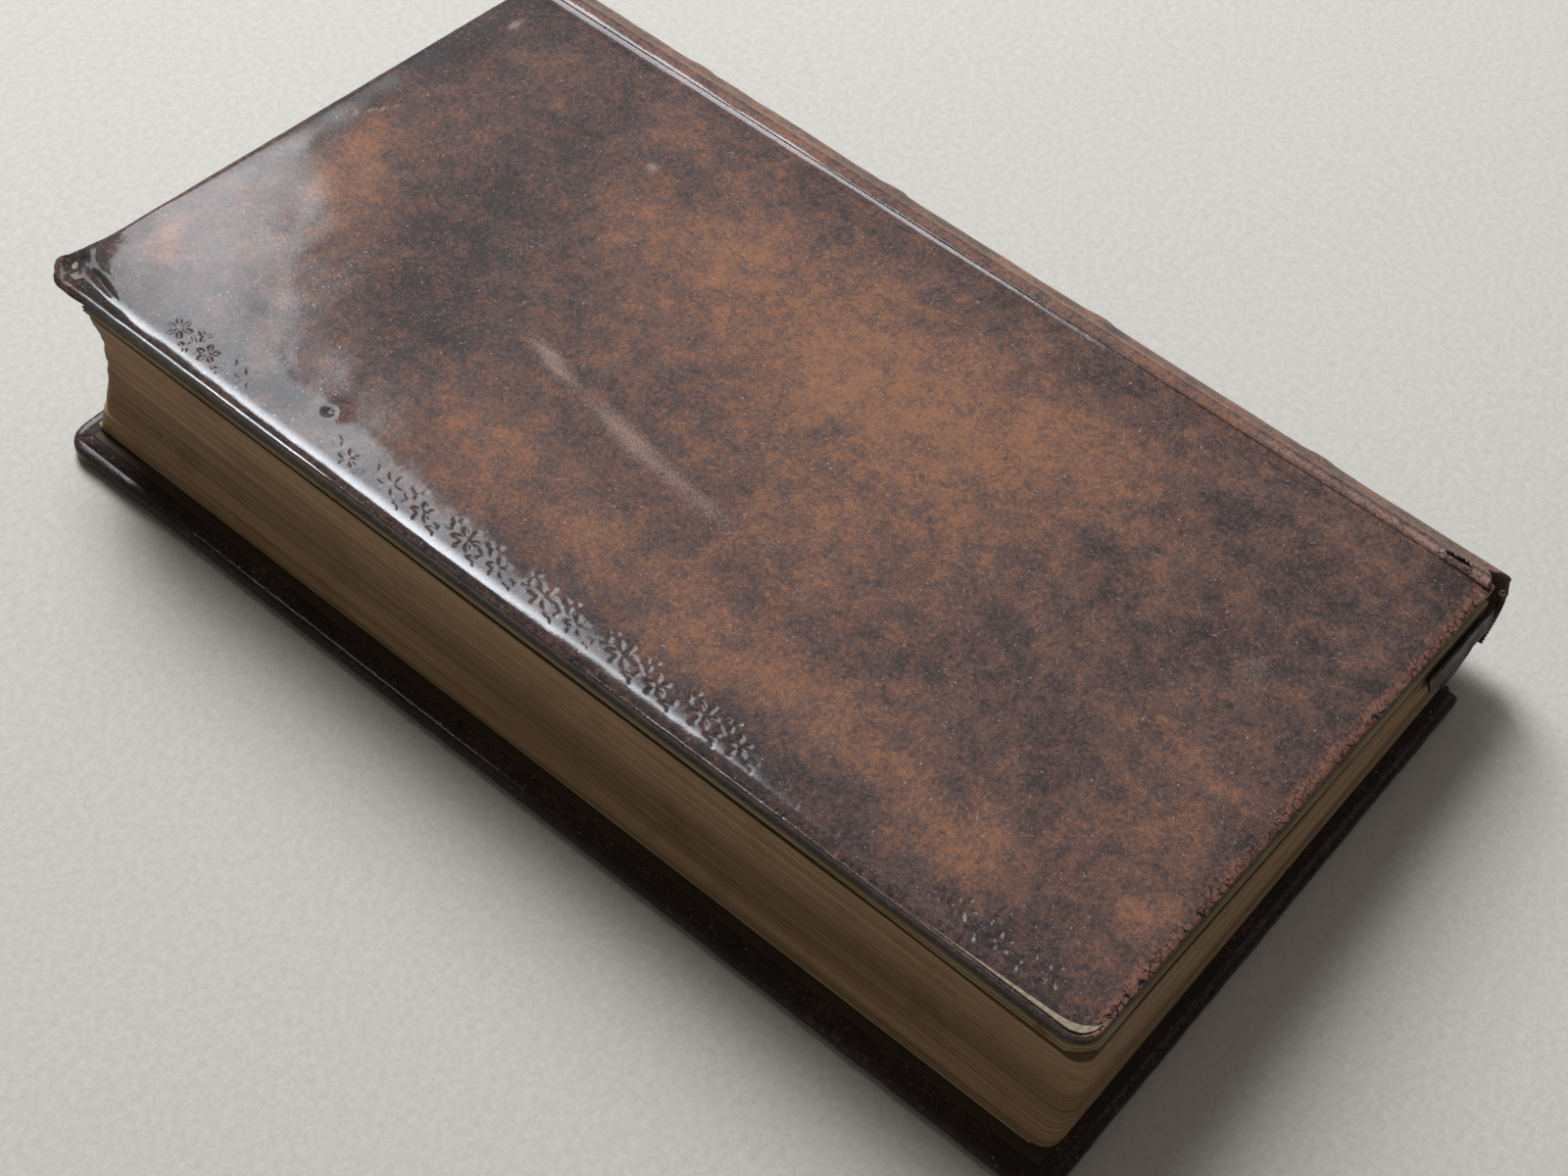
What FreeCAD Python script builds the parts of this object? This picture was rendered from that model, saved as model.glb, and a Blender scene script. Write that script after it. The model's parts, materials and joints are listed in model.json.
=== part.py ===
"""An old pocket book in full leather: sewn pages between two covers, joined by a rounded spine.

It lies on its back cover. +Z is up, the spine is at -X, the fore-edge at +X, the head at +Y.
The origin is the middle of the footprint, on the surface that the book lies on.
"""
import FreeCAD, Part
import math
import os

from FreeCAD import Vector

# Covers
COVER_HEIGHT = 165.0          # along the spine
COVER_WIDTH = 92.5            # from the joint to the fore-edge
BOARD_THICKNESS = 1.6
COVER_LEATHER = 0.6           # leather on the outside and round the edges
TURN_IN_THICKNESS = 0.4       # leather folded over to the inside
TURN_IN_WIDTH = 12.0
PASTEDOWN_THICKNESS = 0.15    # paper where it lies over the turn-ins
PASTEDOWN_MARGIN = 3.0        # leather left showing round the pastedown
COVER_CORNER_RADIUS = 3.5
COVER_EDGE_RADIUS = 0.9

# How the old book stands: swollen at the fore-edge, and leaning away from the spine
SPINE_THICKNESS = 19.5        # over both covers at the joints
FORE_THICKNESS = 29.0         # over both covers at the fore-edge
LEAN = 5.5                    # the back cover lies this much nearer the fore-edge
HEAD_SLIP = 3.0               # and this much nearer the head

# Pages
TAIL_SQUARE = 5.0             # front cover past the pages at the tail
HEAD_PROUD = 0.5              # pages past the front cover at the head
FORE_PROUD_TOP = 0.3          # pages past the front cover at the fore-edge
FORE_PROUD_BOTTOM = 1.3
FORE_HOLLOW = 2.2             # depth of the hollow down the fore-edge
PAGE_CORNER_RADIUS = 2.5
FLYLEAF_THICKNESS = 0.8       # a few blank leaves at each end
FLYLEAF_SETBACK = 0.4
PARTING_HEIGHT = 1.1          # gap under the front flyleaves at the near corner
PARTING_WIDTH = 16.0
PARTING_LENGTH = 60.0

# Spine
SPINE_ROUND = 4.5             # the spine's bulge past the front joint
SPINE_LEATHER = 0.8
BAND_RISE = 0.8               # height of a raised band
BAND_WIDTH = 5.0
BAND_FOOT = 0.35              # how far a band's ends sink into the leather at the joints
BAND_COUNT = 4
ROUND_PIECES = 6              # arcs that the leather's round is made of
END_PANEL = 28.5              # from a cover's head or tail to the nearest band
CORD_WIDTH = 2.6
CORD_SUNK = 1.2               # depth of a cord in the back of the pages
SLIP_LENGTH = 12.0            # a cord's end, laced into the board
SLIP_THICKNESS = 0.7
ENDBAND_WIDTH = 1.6
ENDBAND_HEIGHT = 1.5
CAP_THICKNESS = 0.8
CAP_DEPTH = 2.0

# The torn head of the spine leather: height above the table, and how far past the cover's head
TORN_EDGE = (
    (19.6, -1.2),
    (17.0, 1.4),
    (14.6, 2.9),
    (12.8, 2.2),
    (12.2, 1.0),
    (9.4, 1.9),
    (8.8, 0.2),
    (5.6, 1.2),
    (4.8, -1.6),
    (-1.0, -2.4),
)

# Clearances
JOINT_GAP = 0.3               # between a cover's leather and the spine's
BOARD_JOINT_GAP = 0.6         # between a board's spine edge and the joint
OPENING_GAP = 0.3             # between a pastedown and the first flyleaf
GLUE_GAP = 0.2                # under the spine leather
FLOOR_GAP = 0.3               # under the lower edge of the spine
FIT_GAP = 0.05                # round cords and slips

HALF_HEIGHT = COVER_HEIGHT / 2
BOARD_TOP = COVER_LEATHER + BOARD_THICKNESS
TURN_IN_TOP = BOARD_TOP + TURN_IN_THICKNESS
COVER_THICKNESS = TURN_IN_TOP + PASTEDOWN_THICKNESS
COVER_TILT = math.asin((FORE_THICKNESS - SPINE_THICKNESS) / COVER_WIDTH)
PAGES_HEAD = HALF_HEIGHT + HEAD_PROUD
PAGES_TAIL = -HALF_HEIGHT + TAIL_SQUARE
PAGES_BOTTOM = COVER_THICKNESS + OPENING_GAP + FLYLEAF_THICKNESS
FORE_TOP = COVER_WIDTH * math.cos(COVER_TILT) + FORE_PROUD_TOP
FORE_BOTTOM = COVER_WIDTH + FORE_PROUD_BOTTOM
BACK_INSET = SPINE_LEATHER + GLUE_GAP
LONG = 2 * COVER_HEIGHT
BAND_SPACING = (COVER_HEIGHT - 2 * END_PANEL) / (BAND_COUNT - 1)
BAND_PLACES = [-HALF_HEIGHT + END_PANEL + BAND_SPACING * number for number in range(BAND_COUNT)]

# The whole book's footprint, which sets the origin
X_LOW = -SPINE_ROUND - BAND_RISE
X_HIGH = LEAN + COVER_WIDTH
Y_LOW = -HALF_HEIGHT
Y_HIGH = HALF_HEIGHT + HEAD_SLIP
ORIGIN = Vector((X_LOW + X_HIGH) / 2, (Y_LOW + Y_HIGH) / 2, 0)


def block(x0, x1, y0, y1, z0, z1):
    return Part.makeBox(x1 - x0, y1 - y0, z1 - z0, Vector(x0, y0, z0))


def line(start, end):
    return Part.LineSegment(Vector(start[0], 0, start[1]), Vector(end[0], 0, end[1])).toShape()


def arc(start, middle, end):
    points = [Vector(x, 0, z) for x, z in (start, middle, end)]
    return Part.Arc(*points).toShape()


def arc_in_pieces(start, middle, end, pieces):
    """An arc as several shorter ones. A thin curved wall keeps its thickness in a mesh that way."""
    whole = Part.Arc(*[Vector(x, 0, z) for x, z in (start, middle, end)])
    first, last = whole.FirstParameter, whole.LastParameter
    points = [whole.value(first + (last - first) * step / (2 * pieces))
              for step in range(2 * pieces + 1)]
    return [Part.Arc(*points[2 * k:2 * k + 3]).toShape() for k in range(pieces)]


def along_spine(edges, y0, y1):
    face = Part.Face(Part.Wire(edges))
    face.translate(Vector(0, y0, 0))
    return face.extrude(Vector(0, y1 - y0, 0))


def round_upright(shape, x_of_corner, radius):
    """Rounds the upright edges that stand at the given X."""
    edges = [
        edge for edge in shape.Edges
        if len(edge.Vertexes) == 2
        and abs(edge.BoundBox.XLength) + abs(edge.BoundBox.YLength) < 1e-6
        and abs(edge.BoundBox.XMin - x_of_corner) < 1e-6
    ]
    return shape.makeFillet(radius, edges)


def under_front_cover(x, depth):
    """Height at x of the plane that lies depth below the front cover's outside."""
    return SPINE_THICKNESS - depth / math.cos(COVER_TILT) + x * math.tan(COVER_TILT)


def back_curve(bulge, inset):
    """The spine's round: its upper end, its middle and its lower end."""
    upper = (-JOINT_GAP, SPINE_THICKNESS - inset)
    middle = (-bulge, SPINE_THICKNESS / 2)
    lower = (LEAN - JOINT_GAP, FLOOR_GAP + inset)
    return upper, middle, lower


def back_shell(outer_bulge, outer_inset, inner_bulge, inner_inset, y0, y1, pieces=1):
    """A layer of the spine between two rounds, from y0 to y1."""
    outer = back_curve(outer_bulge, outer_inset)
    inner = back_curve(inner_bulge, inner_inset)
    edges = arc_in_pieces(*outer, pieces)
    edges.append(line(outer[2], inner[2]))
    edges += arc_in_pieces(*reversed(inner), pieces)
    edges.append(line(inner[0], outer[0]))
    return along_spine(edges, y0, y1)


# A cover is made lying on its outside, with its joint along x = 0 and the table at z = 0

def slip_places(slip_in_y):
    return [place - slip_in_y for place in BAND_PLACES]


def slip_solid(y, gap):
    """A cord's end: along a channel in the board's outside, then through the board."""
    half = CORD_WIDTH / 2 + gap
    end = BOARD_JOINT_GAP + SLIP_LENGTH
    run = block(BOARD_JOINT_GAP, end + gap, y - half, y + half,
                COVER_LEATHER, COVER_LEATHER + SLIP_THICKNESS + gap)
    through = block(end - CORD_WIDTH - gap, end + gap, y - half, y + half,
                    COVER_LEATHER, BOARD_TOP)
    return run.fuse(through).removeSplitter()


def plain_board():
    board = block(BOARD_JOINT_GAP, COVER_WIDTH - COVER_LEATHER,
                  -HALF_HEIGHT + COVER_LEATHER, HALF_HEIGHT - COVER_LEATHER,
                  COVER_LEATHER, BOARD_TOP)
    return round_upright(board, COVER_WIDTH - COVER_LEATHER, COVER_CORNER_RADIUS - COVER_LEATHER)


def laced_board(slips):
    board = plain_board()
    for y in slips:
        board = board.cut(slip_solid(y, FIT_GAP))
    return board


def turn_in_window(margin, z0, z1):
    return block(BOARD_JOINT_GAP, COVER_WIDTH - margin,
                 -HALF_HEIGHT + margin, HALF_HEIGHT - margin, z0, z1)


def cover_leather():
    skin = block(JOINT_GAP, COVER_WIDTH, -HALF_HEIGHT, HALF_HEIGHT, 0, TURN_IN_TOP)
    skin = round_upright(skin, COVER_WIDTH, COVER_CORNER_RADIUS)
    rim = [
        edge for edge in skin.Edges
        if edge.BoundBox.ZLength < 1e-6 and edge.BoundBox.XMax > JOINT_GAP + 1
    ]
    skin = skin.makeFillet(COVER_EDGE_RADIUS, rim)
    skin = skin.cut(plain_board())
    skin = skin.cut(turn_in_window(TURN_IN_WIDTH, BOARD_TOP, TURN_IN_TOP))
    inner_joint = block(0, BOARD_JOINT_GAP, -LONG, LONG, COVER_LEATHER, TURN_IN_TOP)
    return skin.cut(inner_joint)


def pastedown():
    inlay = turn_in_window(TURN_IN_WIDTH, BOARD_TOP, TURN_IN_TOP)
    sheet = turn_in_window(PASTEDOWN_MARGIN, TURN_IN_TOP, COVER_THICKNESS)
    return inlay.fuse(sheet).removeSplitter()


def cover(side, slip_in_y):
    """One cover's pieces by name, lying on its outside."""
    slips = slip_places(slip_in_y)
    pieces = {
        side + "_board": laced_board(slips),
        side + "_leather": cover_leather(),
        side + "_pastedown": pastedown(),
    }
    for number, y in enumerate(slips, 1):
        pieces["%s_slip_%d" % (side, number)] = slip_solid(y, 0)
    return pieces


def front_cover():
    pieces = cover("front", 0)
    joint = Vector(0, 0, SPINE_THICKNESS)
    for name, shape in pieces.items():
        turned = shape.mirror(Vector(0, 0, 0), Vector(0, 0, 1))
        turned.translate(joint)
        turned.rotate(joint, Vector(0, 1, 0), -math.degrees(COVER_TILT))
        pieces[name] = turned
    return pieces


def back_cover():
    pieces = cover("back", HEAD_SLIP)
    for shape in pieces.values():
        shape.translate(Vector(LEAN, HEAD_SLIP, 0))
    return pieces


def cord_solid(y, gap):
    """A sewing cord across the back of the pages, under its raised band."""
    bulge = SPINE_ROUND + BAND_RISE - SPINE_LEATHER - GLUE_GAP + gap
    half = CORD_WIDTH / 2 + gap
    sunk = BACK_INSET + CORD_SUNK + gap
    return back_shell(bulge, BACK_INSET, SPINE_ROUND - sunk, sunk, y - half, y + half)


def page_block():
    depth = COVER_THICKNESS + OPENING_GAP + FLYLEAF_THICKNESS
    upper, middle, lower = back_curve(SPINE_ROUND - BACK_INSET, BACK_INSET)
    step_up = (-JOINT_GAP, under_front_cover(-JOINT_GAP, depth))
    step_down = (LEAN - JOINT_GAP, PAGES_BOTTOM)
    fore_top = (FORE_TOP, under_front_cover(FORE_TOP, depth))
    fore_bottom = (FORE_BOTTOM, PAGES_BOTTOM)
    fore_middle = ((FORE_TOP + FORE_BOTTOM) / 2 - FORE_HOLLOW, (fore_top[1] + fore_bottom[1]) / 2)
    edges = [
        arc(upper, middle, lower),
        line(lower, step_down),
        line(step_down, fore_bottom),
        arc(fore_bottom, fore_middle, fore_top),
        line(fore_top, step_up),
        line(step_up, upper),
    ]
    pages = along_spine(edges, PAGES_TAIL, PAGES_HEAD)
    corners = [
        edge for edge in pages.Edges
        if edge.BoundBox.YLength < 1e-6 and edge.BoundBox.XMin > FORE_TOP - 2 * FORE_HOLLOW
    ]
    pages = pages.makeFillet(PAGE_CORNER_RADIUS, corners)
    for y in BAND_PLACES:
        pages = pages.cut(cord_solid(y, FIT_GAP))
    return pages.cut(parting())


def parting():
    """The gap where the front flyleaves lift off the pages at the near corner."""
    depth = COVER_THICKNESS + OPENING_GAP + FLYLEAF_THICKNESS
    x_out = FORE_TOP + 1
    y_out = PAGES_HEAD + 1
    x_in = FORE_TOP - PARTING_WIDTH
    corner = Vector(x_out, y_out, under_front_cover(x_out, depth))
    inner = Vector(x_in, y_out, under_front_cover(x_in, depth))
    along = Vector(x_out, y_out - PARTING_LENGTH, under_front_cover(x_out, depth))
    low = corner - Vector(0, 0, PARTING_HEIGHT)
    faces = [
        Part.Face(Part.makePolygon([a, b, c, a]))
        for a, b, c in (
            (corner, inner, along),
            (corner, inner, low),
            (corner, along, low),
            (inner, along, low),
        )
    ]
    wedge = Part.makeSolid(Part.makeShell(faces))
    if wedge.Volume < 0:
        wedge.reverse()
    return wedge


def front_flyleaves():
    depth = COVER_THICKNESS + OPENING_GAP
    inner_x = BOARD_JOINT_GAP
    outer_x = FORE_TOP - FLYLEAF_SETBACK
    corners = [
        (inner_x, under_front_cover(inner_x, depth)),
        (outer_x, under_front_cover(outer_x, depth)),
        (outer_x, under_front_cover(outer_x, depth + FLYLEAF_THICKNESS)),
        (inner_x, under_front_cover(inner_x, depth + FLYLEAF_THICKNESS)),
    ]
    edges = [line(corners[i], corners[(i + 1) % 4]) for i in range(4)]
    return along_spine(edges, PAGES_TAIL + FLYLEAF_SETBACK, PAGES_HEAD - FLYLEAF_SETBACK)


def back_flyleaves():
    return block(LEAN + BOARD_JOINT_GAP, FORE_BOTTOM - FLYLEAF_SETBACK,
                 PAGES_TAIL + FLYLEAF_SETBACK, PAGES_HEAD - FLYLEAF_SETBACK,
                 PAGES_BOTTOM - FLYLEAF_THICKNESS, PAGES_BOTTOM)


def endband(y0, y1):
    outer = BACK_INSET
    inner = BACK_INSET + ENDBAND_HEIGHT
    return back_shell(SPINE_ROUND - outer, outer, SPINE_ROUND - inner, inner, y0, y1)


def torn_head():
    """What is missing from the head of the spine leather, as a block with a ragged edge."""
    x_out = -2 * (SPINE_ROUND + BAND_RISE)
    top_z, top_y = TORN_EDGE[0]
    bottom_z, bottom_y = TORN_EDGE[-1]
    outline = [Vector(x_out, HALF_HEIGHT + y, z) for z, y in TORN_EDGE]
    outline.insert(0, Vector(x_out, HALF_HEIGHT + top_y, top_z + 10))
    outline.append(Vector(x_out, LONG, bottom_z))
    outline.append(Vector(x_out, LONG, top_z + 10))
    outline.append(outline[0])
    return Part.Face(Part.makePolygon(outline)).extrude(Vector(LONG, 0, 0))


def spine_leather():
    inner_bulge = SPINE_ROUND - SPINE_LEATHER
    leather = back_shell(SPINE_ROUND, 0, inner_bulge, SPINE_LEATHER, -HALF_HEIGHT, Y_HIGH,
                         ROUND_PIECES)
    for y in BAND_PLACES:
        half = BAND_WIDTH / 2
        band = back_shell(SPINE_ROUND + BAND_RISE, BAND_FOOT, inner_bulge, SPINE_LEATHER,
                          y - half, y + half, ROUND_PIECES)
        leather = leather.fuse(band)
    cap_inset = SPINE_LEATHER + CAP_DEPTH
    cap = back_shell(inner_bulge, SPINE_LEATHER, SPINE_ROUND - cap_inset, cap_inset,
                     -HALF_HEIGHT, -HALF_HEIGHT + CAP_THICKNESS, ROUND_PIECES)
    leather = leather.fuse(cap)
    for y in BAND_PLACES:
        leather = leather.cut(cord_solid(y, FIT_GAP))
    return leather.cut(torn_head())


def sewn_pages():
    """What turns with the pages, by name."""
    pieces = {
        "text_block": page_block(),
        "front_flyleaves": front_flyleaves(),
        "back_flyleaves": back_flyleaves(),
        "spine_leather": spine_leather(),
        "headband": endband(PAGES_HEAD, PAGES_HEAD + ENDBAND_WIDTH),
        "tailband": endband(PAGES_TAIL - ENDBAND_WIDTH, PAGES_TAIL),
    }
    for number, y in enumerate(BAND_PLACES, 1):
        pieces["sewing_cord_%d" % number] = cord_solid(y, 0)
    return pieces


def write_book():
    os.makedirs("parts", exist_ok=True)
    book = {}
    book.update(sewn_pages())
    book.update(front_cover())
    book.update(back_cover())
    for name, shape in book.items():
        shape.translate(-ORIGIN)
        if not shape.isValid() or len(shape.Solids) != 1:
            raise ValueError("%s is not one sound solid" % name)
        shape.Solids[0].exportStep("parts/%s.step" % name)


write_book()
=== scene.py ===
import json
import math

import bmesh
import bpy
import numpy as np
from bpy.props import FloatProperty, FloatVectorProperty, IntProperty, PointerProperty
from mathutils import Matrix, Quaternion, Vector


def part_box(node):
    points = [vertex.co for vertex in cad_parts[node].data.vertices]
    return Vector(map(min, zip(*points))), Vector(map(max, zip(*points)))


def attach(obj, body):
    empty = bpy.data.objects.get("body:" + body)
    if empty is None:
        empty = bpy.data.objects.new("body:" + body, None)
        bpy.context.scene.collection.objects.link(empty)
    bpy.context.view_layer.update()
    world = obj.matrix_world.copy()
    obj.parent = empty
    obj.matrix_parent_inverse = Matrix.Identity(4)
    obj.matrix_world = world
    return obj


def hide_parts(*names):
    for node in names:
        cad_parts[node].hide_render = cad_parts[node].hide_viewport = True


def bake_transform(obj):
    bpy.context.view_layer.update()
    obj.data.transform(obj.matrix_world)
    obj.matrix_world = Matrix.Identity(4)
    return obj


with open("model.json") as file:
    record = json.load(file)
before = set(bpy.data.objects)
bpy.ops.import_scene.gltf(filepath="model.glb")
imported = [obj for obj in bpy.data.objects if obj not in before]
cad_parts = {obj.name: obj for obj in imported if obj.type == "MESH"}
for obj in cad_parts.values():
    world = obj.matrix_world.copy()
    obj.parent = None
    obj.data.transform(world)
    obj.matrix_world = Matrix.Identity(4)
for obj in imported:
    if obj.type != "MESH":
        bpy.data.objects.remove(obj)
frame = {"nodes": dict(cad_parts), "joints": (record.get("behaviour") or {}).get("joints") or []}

bl_info = {
    "name": "Antique leather book",
    "version": (1, 0, 0),
    "blender": (4, 5, 0),
    "location": "View3D > Sidebar > Old book",
    "description": "Makes the skin, pages and paper of an old book in full calf, and its stage",
    "category": "Object",
}

MM = 0.001
JOINTS = {joint["name"]: joint for joint in frame["joints"]}
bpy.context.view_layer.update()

# Where the joints lie, in millimetres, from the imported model
FRONT_JOINT_X = JOINTS["front_joint"]["pos_m"][0] / MM
FRONT_JOINT_Z = JOINTS["front_joint"]["pos_m"][2] / MM
BACK_JOINT_X = JOINTS["back_joint"]["pos_m"][0] / MM

COVER_LOW, COVER_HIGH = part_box("back_leather")
COVER_HEIGHT = (COVER_HIGH[1] - COVER_LOW[1]) / MM
COVER_WIDTH = COVER_HIGH[0] / MM - BACK_JOINT_X
BACK_MIDDLE_Y = (COVER_HIGH[1] + COVER_LOW[1]) / 2 / MM
FRONT_MIDDLE_Y = sum(corner[1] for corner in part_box("front_leather")) / 2 / MM
PAGES_LOW, PAGES_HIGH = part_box("text_block")
PAGES_TAIL_Y = PAGES_LOW[1] / MM
PAGES_HEAD_Y = PAGES_HIGH[1] / MM

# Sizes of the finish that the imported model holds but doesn't name, in millimetres
COVER_RISE = 9.5
COVER_TILT = math.asin(COVER_RISE / COVER_WIDTH)
COVER_DEPTH = 2.6
PAGES_DEPTH = 3.85
FLYLEAF_DEPTH = 3.05
JOINT_GAP = 0.3
FLOOR_GAP = 0.3
SPINE_BULGE = 4.5
SPINE_SKIN = 0.8
BAND_RISE = 0.8
BAND_HALF_WIDTH = 2.6
CORDS = (1, 2, 3, 4)
BAND_PLACES = [sum(corner[1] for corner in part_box("sewing_cord_%d" % number)) / 2 / MM
               for number in CORDS]
FORE_HOLLOW = 2.2
FORE_TOP_X = FRONT_JOINT_X + COVER_WIDTH * math.cos(COVER_TILT) + 0.3
FORE_BOTTOM_X = FRONT_JOINT_X + COVER_WIDTH + 1.3


# Smooth seeded noise for shapes

def lattice_noise(x, y, cell, seed):
    """Soft noise from -1 to 1 whose bumps are about one cell across."""
    rng = np.random.default_rng(seed)
    table = rng.uniform(-1, 1, (64, 64))
    u = np.asarray(x, float) / cell + 1000
    v = np.asarray(y, float) / cell + 1000
    i, j = np.floor(u).astype(int), np.floor(v).astype(int)
    fu, fv = u - i, v - j
    fu, fv = fu * fu * (3 - 2 * fu), fv * fv * (3 - 2 * fv)
    near = table[i % 64, j % 64] * (1 - fu) + table[(i + 1) % 64, j % 64] * fu
    far = table[i % 64, (j + 1) % 64] * (1 - fu) + table[(i + 1) % 64, (j + 1) % 64] * fu
    return near * (1 - fv) + far * fv


def rough_noise(x, y, cell, seed, octaves=3):
    total = 0
    for octave in range(octaves):
        total = total + lattice_noise(x, y, cell / 2 ** octave, seed + octave) / 2 ** octave
    return total / 1.75


def smooth_step(low, high, value):
    t = np.clip((np.asarray(value, float) - low) / (high - low), 0, 1)
    return t * t * (3 - 2 * t)


def bell(value, middle, width):
    """One at the middle, falling away softly over a width."""
    return np.exp(-((value - middle) / width) ** 2)


def sloped(distance, reach):
    """One at an edge, falling to nought at its reach."""
    return np.clip(1 - distance / reach, 0, 1) ** 2


def blob(x, y, spot):
    """A soft spot, from its centre, its half lengths, its turn in degrees and its strength."""
    cx, cy, length, width, turn, strength = spot
    c, s = math.cos(math.radians(turn)), math.sin(math.radians(turn))
    along = ((x - cx) * c + (y - cy) * s) / length
    across = (-(x - cx) * s + (y - cy) * c) / width
    return strength * np.exp(-(along ** 2 + across ** 2))


def spots(x, y, places):
    total = np.zeros_like(np.asarray(x, float))
    for spot in places:
        total = total + blob(x, y, spot)
    return total


# Meshes

def grid_faces(rows, columns, start=0, wrap=False):
    """Quads of a grid of points that is laid out row by row."""
    last = columns if wrap else columns - 1
    r, c = np.meshgrid(np.arange(rows - 1), np.arange(last), indexing="ij")
    a = r * columns + c
    b = r * columns + (c + 1) % columns
    return (np.stack([a, b, b + columns, a + columns], -1).reshape(-1, 4) + start).tolist()


def grid_rim(rows, columns):
    """Indices round the border of a grid of points, in order."""
    index = np.arange(rows * columns).reshape(rows, columns)
    sides = (index[0, :], index[1:, -1], index[-1, -2::-1], index[-2:0:-1, 0])
    return np.concatenate(sides).tolist()


def sheet_faces(rows, columns, start=0):
    """Faces of a closed sheet: a grid, the same grid turned over as its other side, and its rim."""
    count = rows * columns
    faces = grid_faces(rows, columns, start)
    faces += [face[::-1] for face in grid_faces(rows, columns, start + count)]
    rim = grid_rim(rows, columns)
    for a, b in zip(rim, rim[1:] + rim[:1]):
        faces.append([start + b, start + a, start + a + count, start + b + count])
    return faces


def on_both_sides(masks, shape):
    """Masks of a sheet's grid, given to both of its sides."""
    return {key: np.tile(np.broadcast_to(value, shape).ravel(), 2) for key, value in masks.items()}


def new_piece(name, points_mm, faces, material, attributes=None):
    mesh = bpy.data.meshes.new(name)
    mesh.from_pydata((np.asarray(points_mm) * MM).tolist(), [], faces)
    mesh.validate()
    mesh.materials.append(material)
    for key, values in (attributes or {}).items():
        layer = mesh.attributes.new(key, "FLOAT", "POINT")
        layer.data.foreach_set("value", np.asarray(values, np.float32))
    mesh.polygons.foreach_set("use_smooth", [True] * len(mesh.polygons))
    piece = bpy.data.objects.new(name, mesh)
    bpy.context.scene.collection.objects.link(piece)
    return piece


def outward(piece):
    """Drops a closed piece's loose points and turns its faces outwards."""
    work = bmesh.new()
    work.from_mesh(piece.data)
    loose = [point for point in work.verts if not point.link_faces]
    bmesh.ops.delete(work, geom=loose, context="VERTS")
    bmesh.ops.recalc_face_normals(work, faces=work.faces)
    work.to_mesh(piece.data)
    work.free()
    return piece


# Node trees

class Tree:
    """Short ways to place the nodes of a material, a group or a Geometry Nodes tree."""

    def __init__(self, tree):
        self.tree = tree

    def node(self, kind, given=None, **settings):
        """A new node with its settings, and with what goes into its sockets."""
        made = self.tree.nodes.new(kind)
        for key, value in settings.items():
            setattr(made, key, value)
        self.give(made, given or {})
        return made

    def give(self, node, given):
        """Links or sets sockets of a node, each by its name or number."""
        for key, value in given.items():
            if isinstance(value, bpy.types.NodeSocket):
                self.tree.links.new(value, node.inputs[key])
            else:
                node.inputs[key].default_value = value

    def math(self, operation, *values):
        given = dict(enumerate(values))
        return self.node("ShaderNodeMath", given, operation=operation).outputs[0]

    def plus(self, value, extra, share):
        """A value with a share of another one added."""
        return self.math("MULTIPLY_ADD", extra, share, value)

    def varied(self, value, noise, strength):
        """A value that rises and falls with a noise."""
        return self.plus(value, self.math("SUBTRACT", noise, 0.5), strength)

    def scaled(self, vector, factors):
        given = {0: vector, 1: factors}
        return self.node("ShaderNodeVectorMath", given, operation="MULTIPLY").outputs[0]

    def shifted(self, vector, offset):
        given = {0: vector, 1: offset}
        return self.node("ShaderNodeVectorMath", given, operation="ADD").outputs[0]

    def noise(self, vector, scale, detail=3.0, roughness=0.55, distortion=0.0):
        given = {"Vector": vector, "Scale": scale, "Detail": detail, "Roughness": roughness,
                 "Distortion": distortion}
        return self.node("ShaderNodeTexNoise", given).outputs[0]

    def cells(self, vector, scale, feature="F1"):
        given = {"Vector": vector, "Scale": scale}
        return self.node("ShaderNodeTexVoronoi", given, feature=feature).outputs["Distance"]

    def span(self, value, low, high, to_low=0.0, to_high=1.0):
        """A smooth step from low to high."""
        given = dict(enumerate((value, low, high, to_low, to_high)))
        return self.node("ShaderNodeMapRange", given, interpolation_type="SMOOTHSTEP").outputs[0]

    def mix(self, factor, a, b, share=None):
        """Goes from a to b with the factor, or only a share of the way."""
        if share is not None:
            factor = self.math("MULTIPLY", factor, share)
        return self.node("ShaderNodeMix", {0: factor, 6: a, 7: b}, data_type="RGBA").outputs[2]

    def mask(self, name):
        return self.node("ShaderNodeAttribute", attribute_name=name).outputs["Fac"]

    def bump(self, height, distance):
        given = {"Strength": 1.0, "Distance": distance, "Height": height}
        return self.node("ShaderNodeBump", given).outputs[0]


def colour(value):
    return (*value[:3], 1.0)


def darker(tint, red, green, blue):
    return (tint[0] * red, tint[1] * green, tint[2] * blue, 1)


def new_material(name):
    material = bpy.data.materials.new(name)
    material.use_nodes = True
    nodes = Tree(material.node_tree)
    shader = material.node_tree.nodes["Principled BSDF"]
    where = nodes.node("ShaderNodeTexCoord").outputs["Object"]
    return material, nodes, shader, nodes.scaled(where, (1 / MM, 1 / MM, 1 / MM))


def new_group(name, inputs, outputs):
    group = bpy.data.node_groups.new(name, "ShaderNodeTree")
    for label, kind, default in inputs:
        socket = group.interface.new_socket(name=label, in_out="INPUT", socket_type=kind)
        if default is not None:
            socket.default_value = default
    for label, kind in outputs:
        group.interface.new_socket(name=label, in_out="OUTPUT", socket_type=kind)
    nodes = Tree(group)
    return group, nodes, nodes.node("NodeGroupInput"), nodes.node("NodeGroupOutput")


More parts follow.
